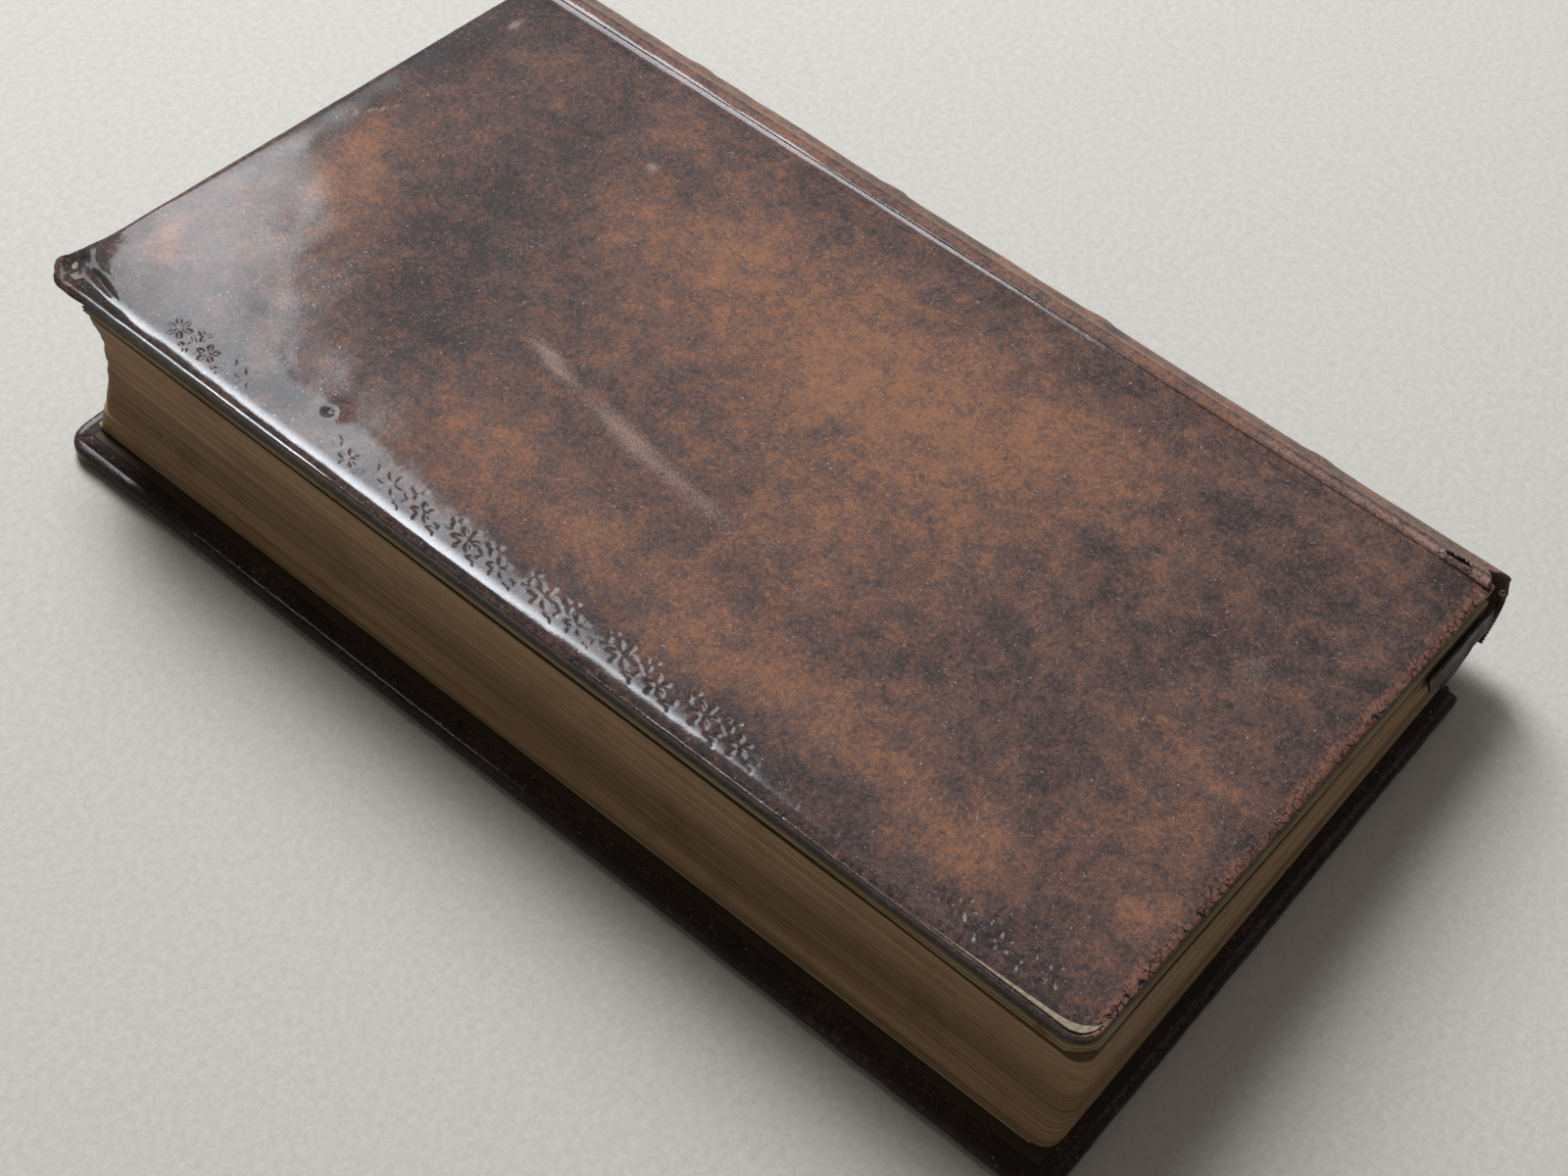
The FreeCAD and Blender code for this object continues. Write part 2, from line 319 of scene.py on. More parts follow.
# Masks that the calf's mesh carries, and the tints of its glaze
CALF_MASKS = ("tan", "stain_and_shade", "rub", "scuff", "tool", "polish")
CALF_TINTS = ("Dark calf", "Brown calf", "Tan calf", "Rubbed calf")
CRACK_TINT = (0.008, 0.005, 0.004, 1)
SCUFF_TINT = (0.34, 0.22, 0.175, 1)
# Painted highlight: the pale tint of glint dots painted into the leather's colour
PAINTED_GLINT_TINT = (0.50, 0.44, 0.43, 1)
FOXING_TINT = (0.30, 0.15, 0.06, 1)
# Painted shade with dirt on the pastedowns' rim: its dark tint, and how far it fades in, in mm
SHADE_AND_DIRT_TINT = (0.045, 0.026, 0.016, 1)
SHADE_AND_DIRT_FADE = 7
PULP_DARK = (0.20, 0.15, 0.10, 1)
PULP_PALE = (0.38, 0.30, 0.21, 1)
SUEDE_TINT = (0.13, 0.06, 0.035)
HEMP_TINT = (0.50, 0.38, 0.22)
THREAD_TINT = (0.15, 0.10, 0.06)

# How far from the book's middle, in X and in Y, the painted shade and dirt on the rim of the
# pastedowns start
SHADE_AND_DIRT_FROM = (38.0, 70.0)


def mottled_calf_group():
    """Colour, gloss and relief of old polished calf, from masks of its wear and stains. Its colour
    also holds painted shade and painted glints.
    """
    inputs = [("Place", "NodeSocketVector", None)]
    inputs += [(mask.capitalize(), "NodeSocketFloat", 0.0) for mask in CALF_MASKS]
    inputs += [(tint, "NodeSocketColor", None) for tint in CALF_TINTS]
    outputs = (("Color", "NodeSocketColor"), ("Roughness", "NodeSocketFloat"),
               ("Coat", "NodeSocketFloat"), ("Height", "NodeSocketFloat"))
    group, nodes, given, out = new_group("mottled_calf", inputs, outputs)
    place = given.outputs["Place"]
    tan, stain_and_shade, rubbing, scuff, tool, polish = (given.outputs[mask.capitalize()] for mask in CALF_MASKS)
    dark, brown, warm, rubbed = (given.outputs[tint] for tint in CALF_TINTS)
    cloud = nodes.noise(place, 0.07, 5, 0.65, 0.5)
    mottle = nodes.noise(place, 0.30, 6, 0.75, 0.2)
    grain = nodes.noise(place, 1.5, 6, 0.8)
    fine = nodes.noise(place, 4.4, 4, 0.8)
    warmth = tan
    for noise, strength in ((cloud, 1.2), (mottle, 2.4), (grain, 2.7), (fine, 2.4)):
        warmth = nodes.varied(warmth, noise, strength)
    # This mask darkens the leather: dark stains, and painted shade on the covers' turned-down edges,
    # on the back cover's edges and on the insides
    warmth = nodes.math("SUBTRACT", warmth, stain_and_shade)
    tint = nodes.mix(nodes.span(warmth, -0.30, 0.30), dark, brown)
    tint = nodes.mix(nodes.span(warmth, 0.20, 1.25), tint, warm)
    stain = nodes.span(nodes.noise(nodes.shifted(place, (31.0, 7.0, 3.0)), 0.5, 5, 0.75), 0.62, 0.70)
    tint = nodes.mix(stain, tint, dark, 0.4)
    rub = nodes.span(nodes.varied(rubbing, grain, 2.6), 0.25, 0.95)
    tint = nodes.mix(rub, tint, rubbed, 0.8)
    pale = nodes.span(nodes.varied(scuff, fine, 1.8), 0.3, 0.9)
    tint = nodes.mix(pale, tint, SCUFF_TINT, 0.65)
    # Painted highlight: pale glint dots painted into the colour; the same dots raise the coat and the
    # relief
    glints = nodes.span(nodes.noise(nodes.shifted(place, (3.0, 50.0, 8.0)), 2.8, 1, 0.5), 0.72, 0.77)
    tint = nodes.mix(glints, tint, PAINTED_GLINT_TINT, 0.60)
    tint = nodes.mix(tool, tint, dark, 0.6)
    coat = nodes.plus(0.18, nodes.span(cloud, 0.35, 0.65), 0.08)
    for part, share in ((polish, 0.9), (rub, -0.05), (glints, 0.3)):
        coat = nodes.plus(coat, part, share)
    relief = nodes.plus(grain, nodes.span(nodes.cells(place, 1.9), 0.0, 0.5), 0.25)
    for part, share in ((fine, 0.5), (glints, 0.35), (rub, -0.35)):
        relief = nodes.plus(relief, part, share)
    nodes.give(out, {"Color": tint, "Roughness": nodes.span(mottle, 0.3, 0.7, 0.62, 0.78),
                     "Coat": nodes.math("MAXIMUM", coat, 0.03), "Height": relief})
    return group


def edge_crack_group():
    """Broken dark cracks along a band where a mask is near one."""
    group, nodes, given, out = new_group(
        "edge_cracks",
        (("Place", "NodeSocketVector", None), ("Band", "NodeSocketFloat", 0.0)),
        (("Crack", "NodeSocketFloat"),))
    place = given.outputs["Place"]
    thin = nodes.span(nodes.cells(place, 0.8, "DISTANCE_TO_EDGE"), 0.0, 0.09, 1.0, 0.0)
    broken = nodes.span(nodes.noise(place, 0.9, 4, 0.7), 0.42, 0.58)
    crack = nodes.math("MULTIPLY", nodes.math("MULTIPLY", thin, broken), given.outputs["Band"])
    nodes.give(out, {"Crack": crack})
    return group


GROUPS = {}


def shared(make):
    """A node group, made once."""
    if make.__name__ not in GROUPS:
        GROUPS[make.__name__] = make()
    return GROUPS[make.__name__]


def calf_material(name, tints, relief=0.045):
    """Old calf. The mesh carries the masks named in CALF_MASKS, and the mask crack."""
    material, nodes, shader, place = new_material(name)
    given = {"Place": place}
    given.update((mask.capitalize(), nodes.mask(mask)) for mask in CALF_MASKS)
    given.update((label, colour(value)) for label, value in zip(CALF_TINTS, tints))
    calf = nodes.node("ShaderNodeGroup", node_tree=shared(mottled_calf_group))
    nodes.give(calf, given)
    cracks = nodes.node("ShaderNodeGroup", node_tree=shared(edge_crack_group))
    nodes.give(cracks, {"Place": place, "Band": nodes.mask("crack")})
    crack = cracks.outputs["Crack"]
    height = nodes.plus(calf.outputs["Height"], crack, -2.0)
    nodes.give(shader, {
        "Base Color": nodes.mix(crack, calf.outputs["Color"], CRACK_TINT),
        "Roughness": calf.outputs["Roughness"],
        "Normal": nodes.bump(height, relief * MM),
        "Specular IOR Level": 0.2,
        "Coat Weight": calf.outputs["Coat"],
        "Coat Roughness": 0.07,
        "Coat Normal": nodes.bump(height, 0.12 * relief * MM),
    })
    return material


def suede_material(name, tint):
    """The rough inner side of the leather."""
    material, nodes, shader, place = new_material(name)
    fibres = nodes.noise(place, 3.0, 5, 0.75)
    dark = darker(tint, 0.35, 0.35, 0.35)
    nodes.give(shader, {
        "Base Color": nodes.mix(nodes.span(fibres, 0.3, 0.7), dark, colour(tint)),
        "Roughness": 0.9,
        "Normal": nodes.bump(fibres, 0.3 * MM),
    })
    return material


def paper_material(name, tint, stain, shade_and_dirt_from=None):
    """Old laid paper: laid lines, foxing, soft stains, and painted shade with dirt beyond a distance
    from the middle.
    """
    material, nodes, shader, place = new_material(name)
    cloud = nodes.noise(place, 0.05, 4, 0.6, 0.4)
    fibre = nodes.noise(place, 2.2, 4, 0.65)
    fox = nodes.span(nodes.noise(nodes.shifted(place, (5.0, 9.0, 2.0)), 0.35, 3, 0.5), 0.66, 0.76)
    laid = nodes.noise(nodes.scaled(place, (0.02, 1.1, 0.02)), 1.0, 1)
    mixed = nodes.mix(nodes.span(cloud, 0.35, 0.75), colour(tint), colour(stain))
    mixed = nodes.mix(fox, mixed, FOXING_TINT, 0.6)
    mixed = nodes.mix(nodes.span(fibre, 0.3, 0.7), mixed, colour(stain), 0.14)
    if shade_and_dirt_from:
        apart = nodes.node("ShaderNodeSeparateXYZ", {0: place})
        past_fore = nodes.span(apart.outputs[0], shade_and_dirt_from[0], shade_and_dirt_from[0] + SHADE_AND_DIRT_FADE)
        from_middle = nodes.math("ABSOLUTE", apart.outputs[1])
        past_end = nodes.span(from_middle, shade_and_dirt_from[1], shade_and_dirt_from[1] + SHADE_AND_DIRT_FADE)
        # Painted shade with dirt: beyond that distance the paper is darkened almost to the dark tint
        mixed = nodes.mix(nodes.math("MAXIMUM", past_fore, past_end), mixed, SHADE_AND_DIRT_TINT, 0.92)
    nodes.give(shader, {
        "Base Color": mixed,
        "Roughness": nodes.span(fibre, 0.2, 0.8, 0.72, 0.92),
        "Normal": nodes.bump(nodes.plus(fibre, laid, 0.7), 0.05 * MM),
        "Specular IOR Level": 0.25,
    })
    return material


def page_edge_material(pale, brown, grime_and_shade):
    """The cut edges of the leaves. UV runs round the block in X and up the leaves in Y, in mm."""
    material, nodes, shader, place = new_material("page_edges")
    spread = nodes.node("ShaderNodeUVMap", uv_map="leaves").outputs[0]
    streak = nodes.noise(nodes.scaled(spread, (0.03, 6.5, 1.0)), 1.0, 4, 0.7)
    leaf = nodes.noise(nodes.scaled(spread, (0.012, 2.1, 1.0)), 1.0, 3, 0.6)
    broad = nodes.noise(nodes.scaled(spread, (0.02, 0.16, 1.0)), 1.0, 3, 0.6)
    blotch = nodes.noise(place, 0.16, 4, 0.65)
    tint = nodes.mix(nodes.span(leaf, 0.32, 0.68), colour(brown), colour(pale))
    tint = nodes.mix(nodes.span(streak, 0.52, 0.78), tint, colour(grime_and_shade), 0.7)
    tint = nodes.mix(nodes.span(broad, 0.45, 0.72), tint, colour(brown), 0.45)
    tint = nodes.mix(nodes.span(blotch, 0.5, 0.75), tint, colour(grime_and_shade), 0.35)
    nodes.give(shader, {
        # Painted shade: the mask darkens a band round the leaves' edges and the leaves next to the
        # covers
        "Base Color": nodes.mix(nodes.mask("grime_and_shade"), tint, colour(grime_and_shade)),
        "Roughness": nodes.span(streak, 0.2, 0.8, 0.62, 0.88),
        "Normal": nodes.bump(nodes.plus(streak, leaf, 0.6), 0.16 * MM),
        "Specular IOR Level": 0.3,
    })
    return material


def board_material():
    """Paste board: grey-brown pulp with fibres."""
    material, nodes, shader, place = new_material("paste_board")
    pulp = nodes.noise(place, 1.2, 5, 0.7)
    nodes.give(shader, {
        "Base Color": nodes.mix(nodes.span(pulp, 0.3, 0.7), PULP_DARK, PULP_PALE),
        "Roughness": 0.92,
        "Normal": nodes.bump(pulp, 0.25 * MM),
    })
    return material


def hemp_material(name, tint):
    """Twisted fibres of the cords and of the endband's thread."""
    material, nodes, shader, place = new_material(name)
    given = {"Vector": place, "Scale": 1.1, "Distortion": 1.2}
    twist = nodes.node("ShaderNodeTexWave", given, wave_type="BANDS", bands_direction="DIAGONAL")
    strand = twist.outputs["Fac"]
    nodes.give(shader, {
        "Base Color": nodes.mix(strand, darker(tint, 0.45, 0.42, 0.38), colour(tint)),
        "Roughness": 0.85,
        "Normal": nodes.bump(strand, 0.2 * MM),
    })
    return material


# The covers

ROLL_INSET = 4.3
ROLL_DEPTH = 0.14
GROOVE_U = 2.9
BACK_ROLL_STEP = 0.5
BACK_ROWS = 240
LID_DEPTH = 2.3
# Painted shade on the inside of a cover and on its turn-ins
INSIDE_MASKS = {"stain_and_shade": 0.3}
TURN_IN_START = 1.3
TURN_IN_END = 12

# A turn-in's section: share of the way inwards, and depth below the cover's outside
TURN_IN_PROFILE = ((0, 2.28), (0, 2.6), (0.25, 2.64), (0.5, 2.62), (0.8, 2.63), (1, 2.6), (1, 2.28))

# Marks on the front cover: u from the joint, v from the middle, half lengths, turn, strength
TAN_PATCHES = (
    (28, -26, 12, 26, -6, 0.30),
    (27, 6, 15, 26, 0, 0.42),
    (24, 36, 11, 22, 0, 0.34),
    (44, 10, 14, 18, 30, 0.28),
    (52, -70, 11, 5, 30, 0.55),
    (43, -74, 8, 3, 20, 0.42),
    (79, -76, 5, 3, 40, 0.60),
    (77, -24, 8, 12, -20, 0.34),
    (78, 0, 7, 13, 10, 0.32),
    (80, 20, 6, 11, 20, 0.50),
    (79, 36, 6, 10, 0, 0.36),
    (82, 56, 6, 8, 20, 0.55),
    (58, 72, 14, 4, 10, 0.22),
    (70, 79, 16, 3, 4, 0.40),
    (14, 62, 6, 8, 0, 0.16),
    (60, 20, 12, 20, 15, 0.16),
)
DARK_PATCHES = (
    (32, -54, 20, 10, 10, 0.34),
    (60, -42, 16, 14, 0, 0.30),
    (18, -78, 26, 8, 0, 0.30),
    (34, 56, 16, 13, 0, 0.16),
    (54, 40, 13, 12, -20, 0.14),
    (18, 62, 11, 14, 0, 0.18),
    (63, 56, 10, 10, 0, 0.16),
    (88, 0, 5, 80, 0, 0.26),
    (88, -70, 12, 12, 0, 0.26),
    (4, 0, 5, 90, 0, 0.14),
    (33, 42.7, 1.8, 2.6, 20, 0.60),
    (31.5, 39.5, 1.2, 1.6, 20, 0.45),
    (34, 78, 10, 4, 0, 0.2),
    (93, -84, 8, 7, 0, 0.35),
)
SCUFFS = (
    (58, -27, 1.6, 6, -16, 0.85),
    (61, -12, 2.4, 9, -12, 0.75),
    (63, 3, 2.0, 9, -8, 0.60),
    (39.5, -77, 0.5, 6, 62, 0.8),
    (35, -65, 0.5, 5, 40, 0.55),
    (87, -4, 3.5, 0.5, 20, 0.6),
    (38, 5, 9, 3.0, 70, 0.3),
    (48, 12, 9, 2.5, 60, 0.28),
    (11, -77, 2.0, 1.0, 0, 0.9),
    (20, -43, 1.4, 1.2, 30, 0.9),
    (35, 67.5, 5, 3.5, 10, 0.5),
)
BUMPS = (
    (82, 53, 3.5, 4.0, 20, 0.22),
    (78, 62, 3.0, 4.0, -20, 0.22),
    (85, -39.6, 1.7, 1.7, 0, 0.35),
    (87, -81, 4, 2.5, 20, 0.45),
    (90, -74, 1.2, 6.0, -15, 0.35),
    (76, -83, 5, 1.4, 0, 0.25),
    (60, -20, 18, 1.6, 68, 0.10),
    (30, 30, 25, 20, 0, 0.25),
)
PITS = (
    (88.8, -81.0, 1.9, 1.0, 30, 1.0),
    (89.3, -76.0, 0.6, 3.6, -16, 0.6),
    (85, -39.6, 0.9, 0.9, 0, 0.45),
    (58.8, 69.0, 0.5, 0.5, 0, 0.12),
    (50, -50, 20, 22, 0, 0.20),
)


def petal_ring(x, y, count, reach, length, width, turn):
    """Depth, 0 to 1, of a ring of separate petals about the origin."""
    depth = np.zeros_like(x)
    for k in range(count):
        angle = turn + 2 * math.pi * k / count
        c, s = math.cos(angle), math.sin(angle)
        along = (x * c + y * s - reach) / length
        across = (y * c - x * s) / width
        depth = np.maximum(depth, smooth_step(1.25, 0.55, np.hypot(along, across)))
    return depth


def edge_roll(along, across, wear_seed):
    """Depth, 0 to 1, of a blind-tooled roll of flowers and leaf sprigs.

    along runs along the edge and across is measured from the roll's middle line, in mm.
    """
    repeat = 12.5
    local = along - (np.floor(along / repeat) + 0.5) * repeat
    big_flower = (local + 3.0, across - 0.2)
    small_flower = (local - 2.8, across + 0.4)
    depth = petal_ring(*big_flower, 6, 1.15, 0.80, 0.33, 0.3)
    depth = np.maximum(depth, petal_ring(*small_flower, 5, 0.95, 0.68, 0.34, 0.8))
    stem = np.sin(2 * math.pi * along / repeat)
    away = np.minimum(np.hypot(*big_flower), np.hypot(*small_flower))
    line = 0.6 * smooth_step(0.28, 0.10, np.abs(across - stem)) * smooth_step(2.0, 2.4, away)
    depth = np.maximum(depth, line)
    for offset, side in ((-5.8, 1), (-0.2, -1), (0.4, 1), (5.7, -1)):
        sprig = petal_ring(local - offset, across - side * 1.4, 3, 0.6, 0.6, 0.28, side * 0.9)
        depth = np.maximum(depth, 0.8 * sprig)
    kept = smooth_step(-0.15, 0.45, rough_noise(along, across, 14.0, wear_seed))
    return depth * (0.12 + 0.88 * kept)


class CoverShape:
    """A cover's skin: a board's outside, its round edges and the start of the turn-ins.

    u runs from the joint to the fore-edge, v from tail to head, w up from the outside, in mm.
    """

    plan_radius = 3.5
    outer_radius = 0.9
    inner_radius = 0.7
    inner_run = 1.9
    tooled_strip = 12.0
    groove_end = 6.0

    def __init__(self, fine, rows):
        self.half = COVER_HEIGHT / 2
        straight = COVER_DEPTH - self.outer_radius - self.inner_radius
        lengths = (self.outer_radius * math.pi / 2, straight, self.inner_radius * math.pi / 2)
        self.stops = np.cumsum(lengths)
        around = np.concatenate([
            np.linspace(0, self.stops[0], 7)[1:],
            np.linspace(self.stops[0], self.stops[1], 4)[1:],
            np.linspace(self.stops[1], self.stops[2], 5)[1:],
            [self.stops[2] + self.inner_run * 0.5, self.stops[2] + self.inner_run],
        ])
        flat_u = COVER_WIDTH - self.outer_radius
        flat_v = self.half - self.outer_radius
        groove = np.arange(JOINT_GAP, self.groove_end, 0.45)
        plain = np.arange(self.groove_end + 0.3, flat_u - self.tooled_strip, 1.7)
        tooled = np.linspace(flat_u - self.tooled_strip, flat_u, int(self.tooled_strip / fine) + 1)
        middle = np.linspace(-flat_v, flat_v, rows)
        self.s = np.concatenate([groove, plain, tooled, flat_u + around])
        self.t = np.concatenate([-flat_v - around[::-1], middle, flat_v + around])

    def past_round(self, d):
        """How far out and how far down the skin is, d past the start of its round edge."""
        ro, ri = self.outer_radius, self.inner_radius
        first = np.clip(d, 0, self.stops[0]) / ro
        second = np.clip(d - self.stops[0], 0, self.stops[1] - self.stops[0])
        third = np.clip(d - self.stops[1], 0, self.stops[2] - self.stops[1]) / ri
        fourth = np.maximum(d - self.stops[2], 0)
        out = np.minimum(d, 0) + ro * np.sin(first) - ri * (1 - np.cos(third)) - fourth
        drop = ro * (1 - np.cos(first)) + second + ri * np.sin(third)
        return out, drop

    def points(self):
        s, t = np.meshgrid(self.s, self.t)
        u0 = COVER_WIDTH - self.plan_radius
        v0 = self.half - self.plan_radius
        a, b = s - u0, np.abs(t) - v0
        corner = (a > 0) & (b > 0)
        reach = np.where(corner, np.maximum(a, b), np.where(a > b, a, b))
        with np.errstate(divide="ignore", invalid="ignore"):
            angle = np.where(a > b, math.pi / 4 * b / a, math.pi / 2 - math.pi / 4 * a / b)
        start = self.plan_radius - self.outer_radius
        out, drop = self.past_round(reach - start)
        radius = start + out
        u = np.where(corner, u0 + radius * np.cos(angle), np.where(a > b, u0 + radius, s))
        v = np.where(b >= a, v0 + radius, np.abs(t))
        v = np.where(corner, v0 + radius * np.sin(angle), v)
        inside = (a <= 0) & (b <= 0)
        u, v = np.where(inside, s, u), np.where(inside, np.abs(t), v)
        drop = np.where(inside, 0, drop)
        return u, np.sign(t) * v, -drop, reach - start


def cover_rise(shape, u, v, to_fore, to_end, worn):
    """How far the leather stands above the cover's plane: warp, rounded edges, groove and waves."""
    lift = 0.55 * worn * (1 - (v / shape.half) ** 2) * (u / COVER_WIDTH) ** 2
    curl = 0.75 * sloped(to_fore, 9) + 0.30 * sloped(to_fore, 2.2) + 0.30 * sloped(to_end, 6)
    groove = 0.30 * bell(u, GROOVE_U, 0.9) - 0.14 * bell(u, 1.2, 0.7)
    groove = worn * groove * smooth_step(0.4, 1.6, u) + 0.06 * smooth_step(1.4, 0.4, u)
    wavy = 0.16 * rough_noise(u, v, 21, 3) + 0.035 * rough_noise(u, v, 4.5, 9)
    return lift - curl - groove + wavy * smooth_step(0, 3, u)


def cover_skin(shape, worn):
    """Points and masks of one cover's skin, closed under the turn-ins."""
    u, v, w, past = shape.points()
    on_top = smooth_step(-0.6, 0.0, w)
    to_fore = np.maximum(COVER_WIDTH - u, 0)
    to_end = np.maximum(shape.half - np.abs(v), 0)
    roll = edge_roll(v + 4.0, to_fore - ROLL_INSET, 41) * smooth_step(3.5, 8.0, to_end)
    rise = cover_rise(shape, u, v, to_fore, to_end, worn)
    if worn:
        rise = rise + spots(u, v, BUMPS) - spots(u, v, PITS)
        bent = 0.9 * blob(u, v, (COVER_WIDTH, -shape.half, 5.5, 5.0, 0, 1.0))
        bent = bent * (1 + 0.7 * rough_noise(u, v, 2.6, 57))
        u, v, w = u + bent, v - bent, w + bent
    w = w + (rise - ROLL_DEPTH * roll) * on_top
    ragged = 0.10 * rough_noise(u + v, v - u, 2.4, 17)
    ragged = ragged * smooth_step(0.0, -0.9, w)
    ragged = ragged * smooth_step(shape.inner_run * 2, 0, past - shape.stops[2])
    u = u + ragged * smooth_step(1.5, 0, to_fore)
    v = v + ragged * np.sign(v) * smooth_step(1.5, 0, to_end)
    masks = cover_masks(shape, u, v, w, to_fore, to_end, roll, worn)
    return np.stack([u, v, w], -1), masks


def cover_masks(shape, u, v, w, to_fore, to_end, roll, worn):
    """Where a cover is tan, dark, rubbed, scuffed, tooled, polished and cracked, 0 to 1. Its darkening
    holds stains and painted shade.
    """
    to_edge = np.minimum(to_fore, to_end)
    # Painted shade on the rounded edge where it turns down under the cover, which is also less rubbed
    low = smooth_step(-0.7, -1.8, w)
    soft = rough_noise(u, v, 6, 77)
    corner = worn * blob(u, v, (COVER_WIDTH, -shape.half, 8, 7, 0, 1.0))
    rubbed_places = (
        0.70 * smooth_step(3.0, 0.5, shape.half - v + 1.5 * soft),
        0.15 * smooth_step(1.0, 0.1, to_fore + 0.5 * soft),
        0.35 * smooth_step(2.0, 0.2, shape.half + v + soft),
        0.50 * smooth_step(8, 1, np.hypot(to_fore, shape.half - v)),
        0.60 * worn * smooth_step(3.2, 1.6, u + 0.5 * soft),
        0.75 * corner * (0.8 + soft),
    )
    # Painted shade along the edges of the back cover
    edge_painted_shade = (1 - worn) * 0.5 * smooth_step(4, 0, to_edge)
    stain_and_shade = spots(u, v, DARK_PATCHES) * worn + 0.22 * smooth_step(9, 0, to_edge)
    handled = smooth_step(2.8, 1.0, to_fore) * smooth_step(-1.4, -0.7, w)
    masks = {
        "tan": 0.30 + spots(u, v, TAN_PATCHES) * worn,
        "stain_and_shade": stain_and_shade + np.maximum(edge_painted_shade, 0.3 * low),
        "rub": np.maximum.reduce(rubbed_places) * (1 - 0.75 * low),
        "scuff": spots(u, v, SCUFFS) * worn,
        "tool": roll * 0.22 + worn * 0.15 * bell(u, GROOVE_U, 0.6),
        "polish": handled * (1 - corner) - 0.2 * corner + 0.35 * worn * bell(u, 1.4, 1.0),
        "crack": smooth_step(2.2, 0.5, to_end) * (v > 0) + 0.8 * smooth_step(1.2, 0.2, to_edge),
    }
    if worn:
        corner_pits = np.clip(spots(u, v, PITS[:3]) * 2.2, 0, 1)
        masks["tool"] = np.maximum(masks["tool"], corner_pits)
    return masks


def placed_on_cover(side, points):
    """Moves points from a cover's own u, v, w to the book's x, y, z."""
    u, v, w = points[..., 0], points[..., 1], points[..., 2]
    if side == "back":
        return np.stack([BACK_JOINT_X + u, BACK_MIDDLE_Y + v, -w], -1)
    c, s = math.cos(COVER_TILT), math.sin(COVER_TILT)
    return np.stack([FRONT_JOINT_X + u * c - w * s, FRONT_MIDDLE_Y + v,
                     FRONT_JOINT_Z + u * s + w * c], -1)


def turn_in_strips(columns=90):
    """The leather folded to a cover's inside: three strips that meet at mitres."""
    half = COVER_HEIGHT / 2
    outer, inner = (
        [(JOINT_GAP, inset - half), (COVER_WIDTH - inset, inset - half),
         (COVER_WIDTH - inset, half - inset), (JOINT_GAP, half - inset)]
        for inset in (TURN_IN_START, TURN_IN_END))
    points, faces = [], []
    share = np.linspace(0, 1, columns)
    rows = len(TURN_IN_PROFILE)
    for k in range(3):
        start = len(points)
        o0, o1, i0, i1 = map(np.array, (outer[k], outer[k + 1], inner[k], inner[k + 1]))
        for across, depth in TURN_IN_PROFILE:
            line = (o0 + np.outer(share, o1 - o0)) * (1 - across)
            line = line + (i0 + np.outer(share, i1 - i0)) * across
            line[:, (k + 1) % 2] += 0.5 * across * rough_noise(share * 60, share * 0 + k, 6, 60 + k)
            points += [(x, y, -depth) for x, y in line]
        faces += grid_faces(rows, columns, start)
        end = [start + row * columns for row in range(rows)]
        faces.append(end)
        faces.append([i + columns - 1 for i in reversed(end)])
        for a in range(columns - 1):
            faces.append([start + a, end[-1] + a, end[-1] + a + 1, start + a + 1])
    return np.array(points), faces


def make_cover(side, fine, rows, material):
    """One cover's leather: its skin, closed inside, and its turn-ins."""
    shape = CoverShape(fine, rows)
    skin, masks = cover_skin(shape, 1.0 if side == "front" else 0.0)
    points = skin.reshape(-1, 3)
    rim = grid_rim(*skin.shape[:2])
    inset = shape.plan_radius + 0.5
    lid = points[rim].copy()
    lid[:, 0] = np.clip(lid[:, 0], JOINT_GAP, COVER_WIDTH - inset)
    lid[:, 1] = np.clip(lid[:, 1], inset - shape.half, shape.half - inset)
    lid[:, 2] = -LID_DEPTH
    base, count = len(points), len(rim)
    faces = grid_faces(*skin.shape[:2])
    for k in range(count):
        after = (k + 1) % count
        faces.append([rim[after], rim[k], base + k, base + after])
    faces.append([base + k for k in range(count)])
    strips, strip_faces = turn_in_strips()
    faces += [[i + base + count for i in face] for face in strip_faces]
    inside = count + len(strips)
    values = {key: np.concatenate([mask.ravel(), np.full(inside, INSIDE_MASKS.get(key, 0.0))])
              for key, mask in masks.items()}
    every = placed_on_cover(side, np.concatenate([points, lid, strips]))
    return outward(new_piece(side + "_cover_leather", every, faces, material, values))


# The spine

def circle_through(a, b, c):
    """Centre and radius of the circle through three points."""
    (ax, ay), (bx, by), (cx, cy) = a, b, c
    d = 2 * (ax * (by - cy) + bx * (cy - ay) + cx * (ay - by))
    sa, sb, sc = ax * ax + ay * ay, bx * bx + by * by, cx * cx + cy * cy
    x = (sa * (by - cy) + sb * (cy - ay) + sc * (ay - by)) / d
    y = (sa * (cx - bx) + sb * (ax - cx) + sc * (bx - ax)) / d
    return x, y, math.hypot(ax - x, ay - y)


def back_round(bulge, inset, share):
    """Points of the spine's round, from the front joint (share 0) to the back joint (1)."""
    upper = (FRONT_JOINT_X - JOINT_GAP, FRONT_JOINT_Z - inset)
    middle = (FRONT_JOINT_X - bulge, FRONT_JOINT_Z / 2)
    lower = (BACK_JOINT_X - JOINT_GAP, FLOOR_GAP + inset)
    x, z, radius = circle_through(upper, middle, lower)
    start = math.atan2(upper[1] - z, upper[0] - x)
    end = math.atan2(lower[1] - z, lower[0] - x)
    if end < start:
        end += 2 * math.pi
    angle = start + (end - start) * share
    return x + radius * np.cos(angle), z + radius * np.sin(angle)


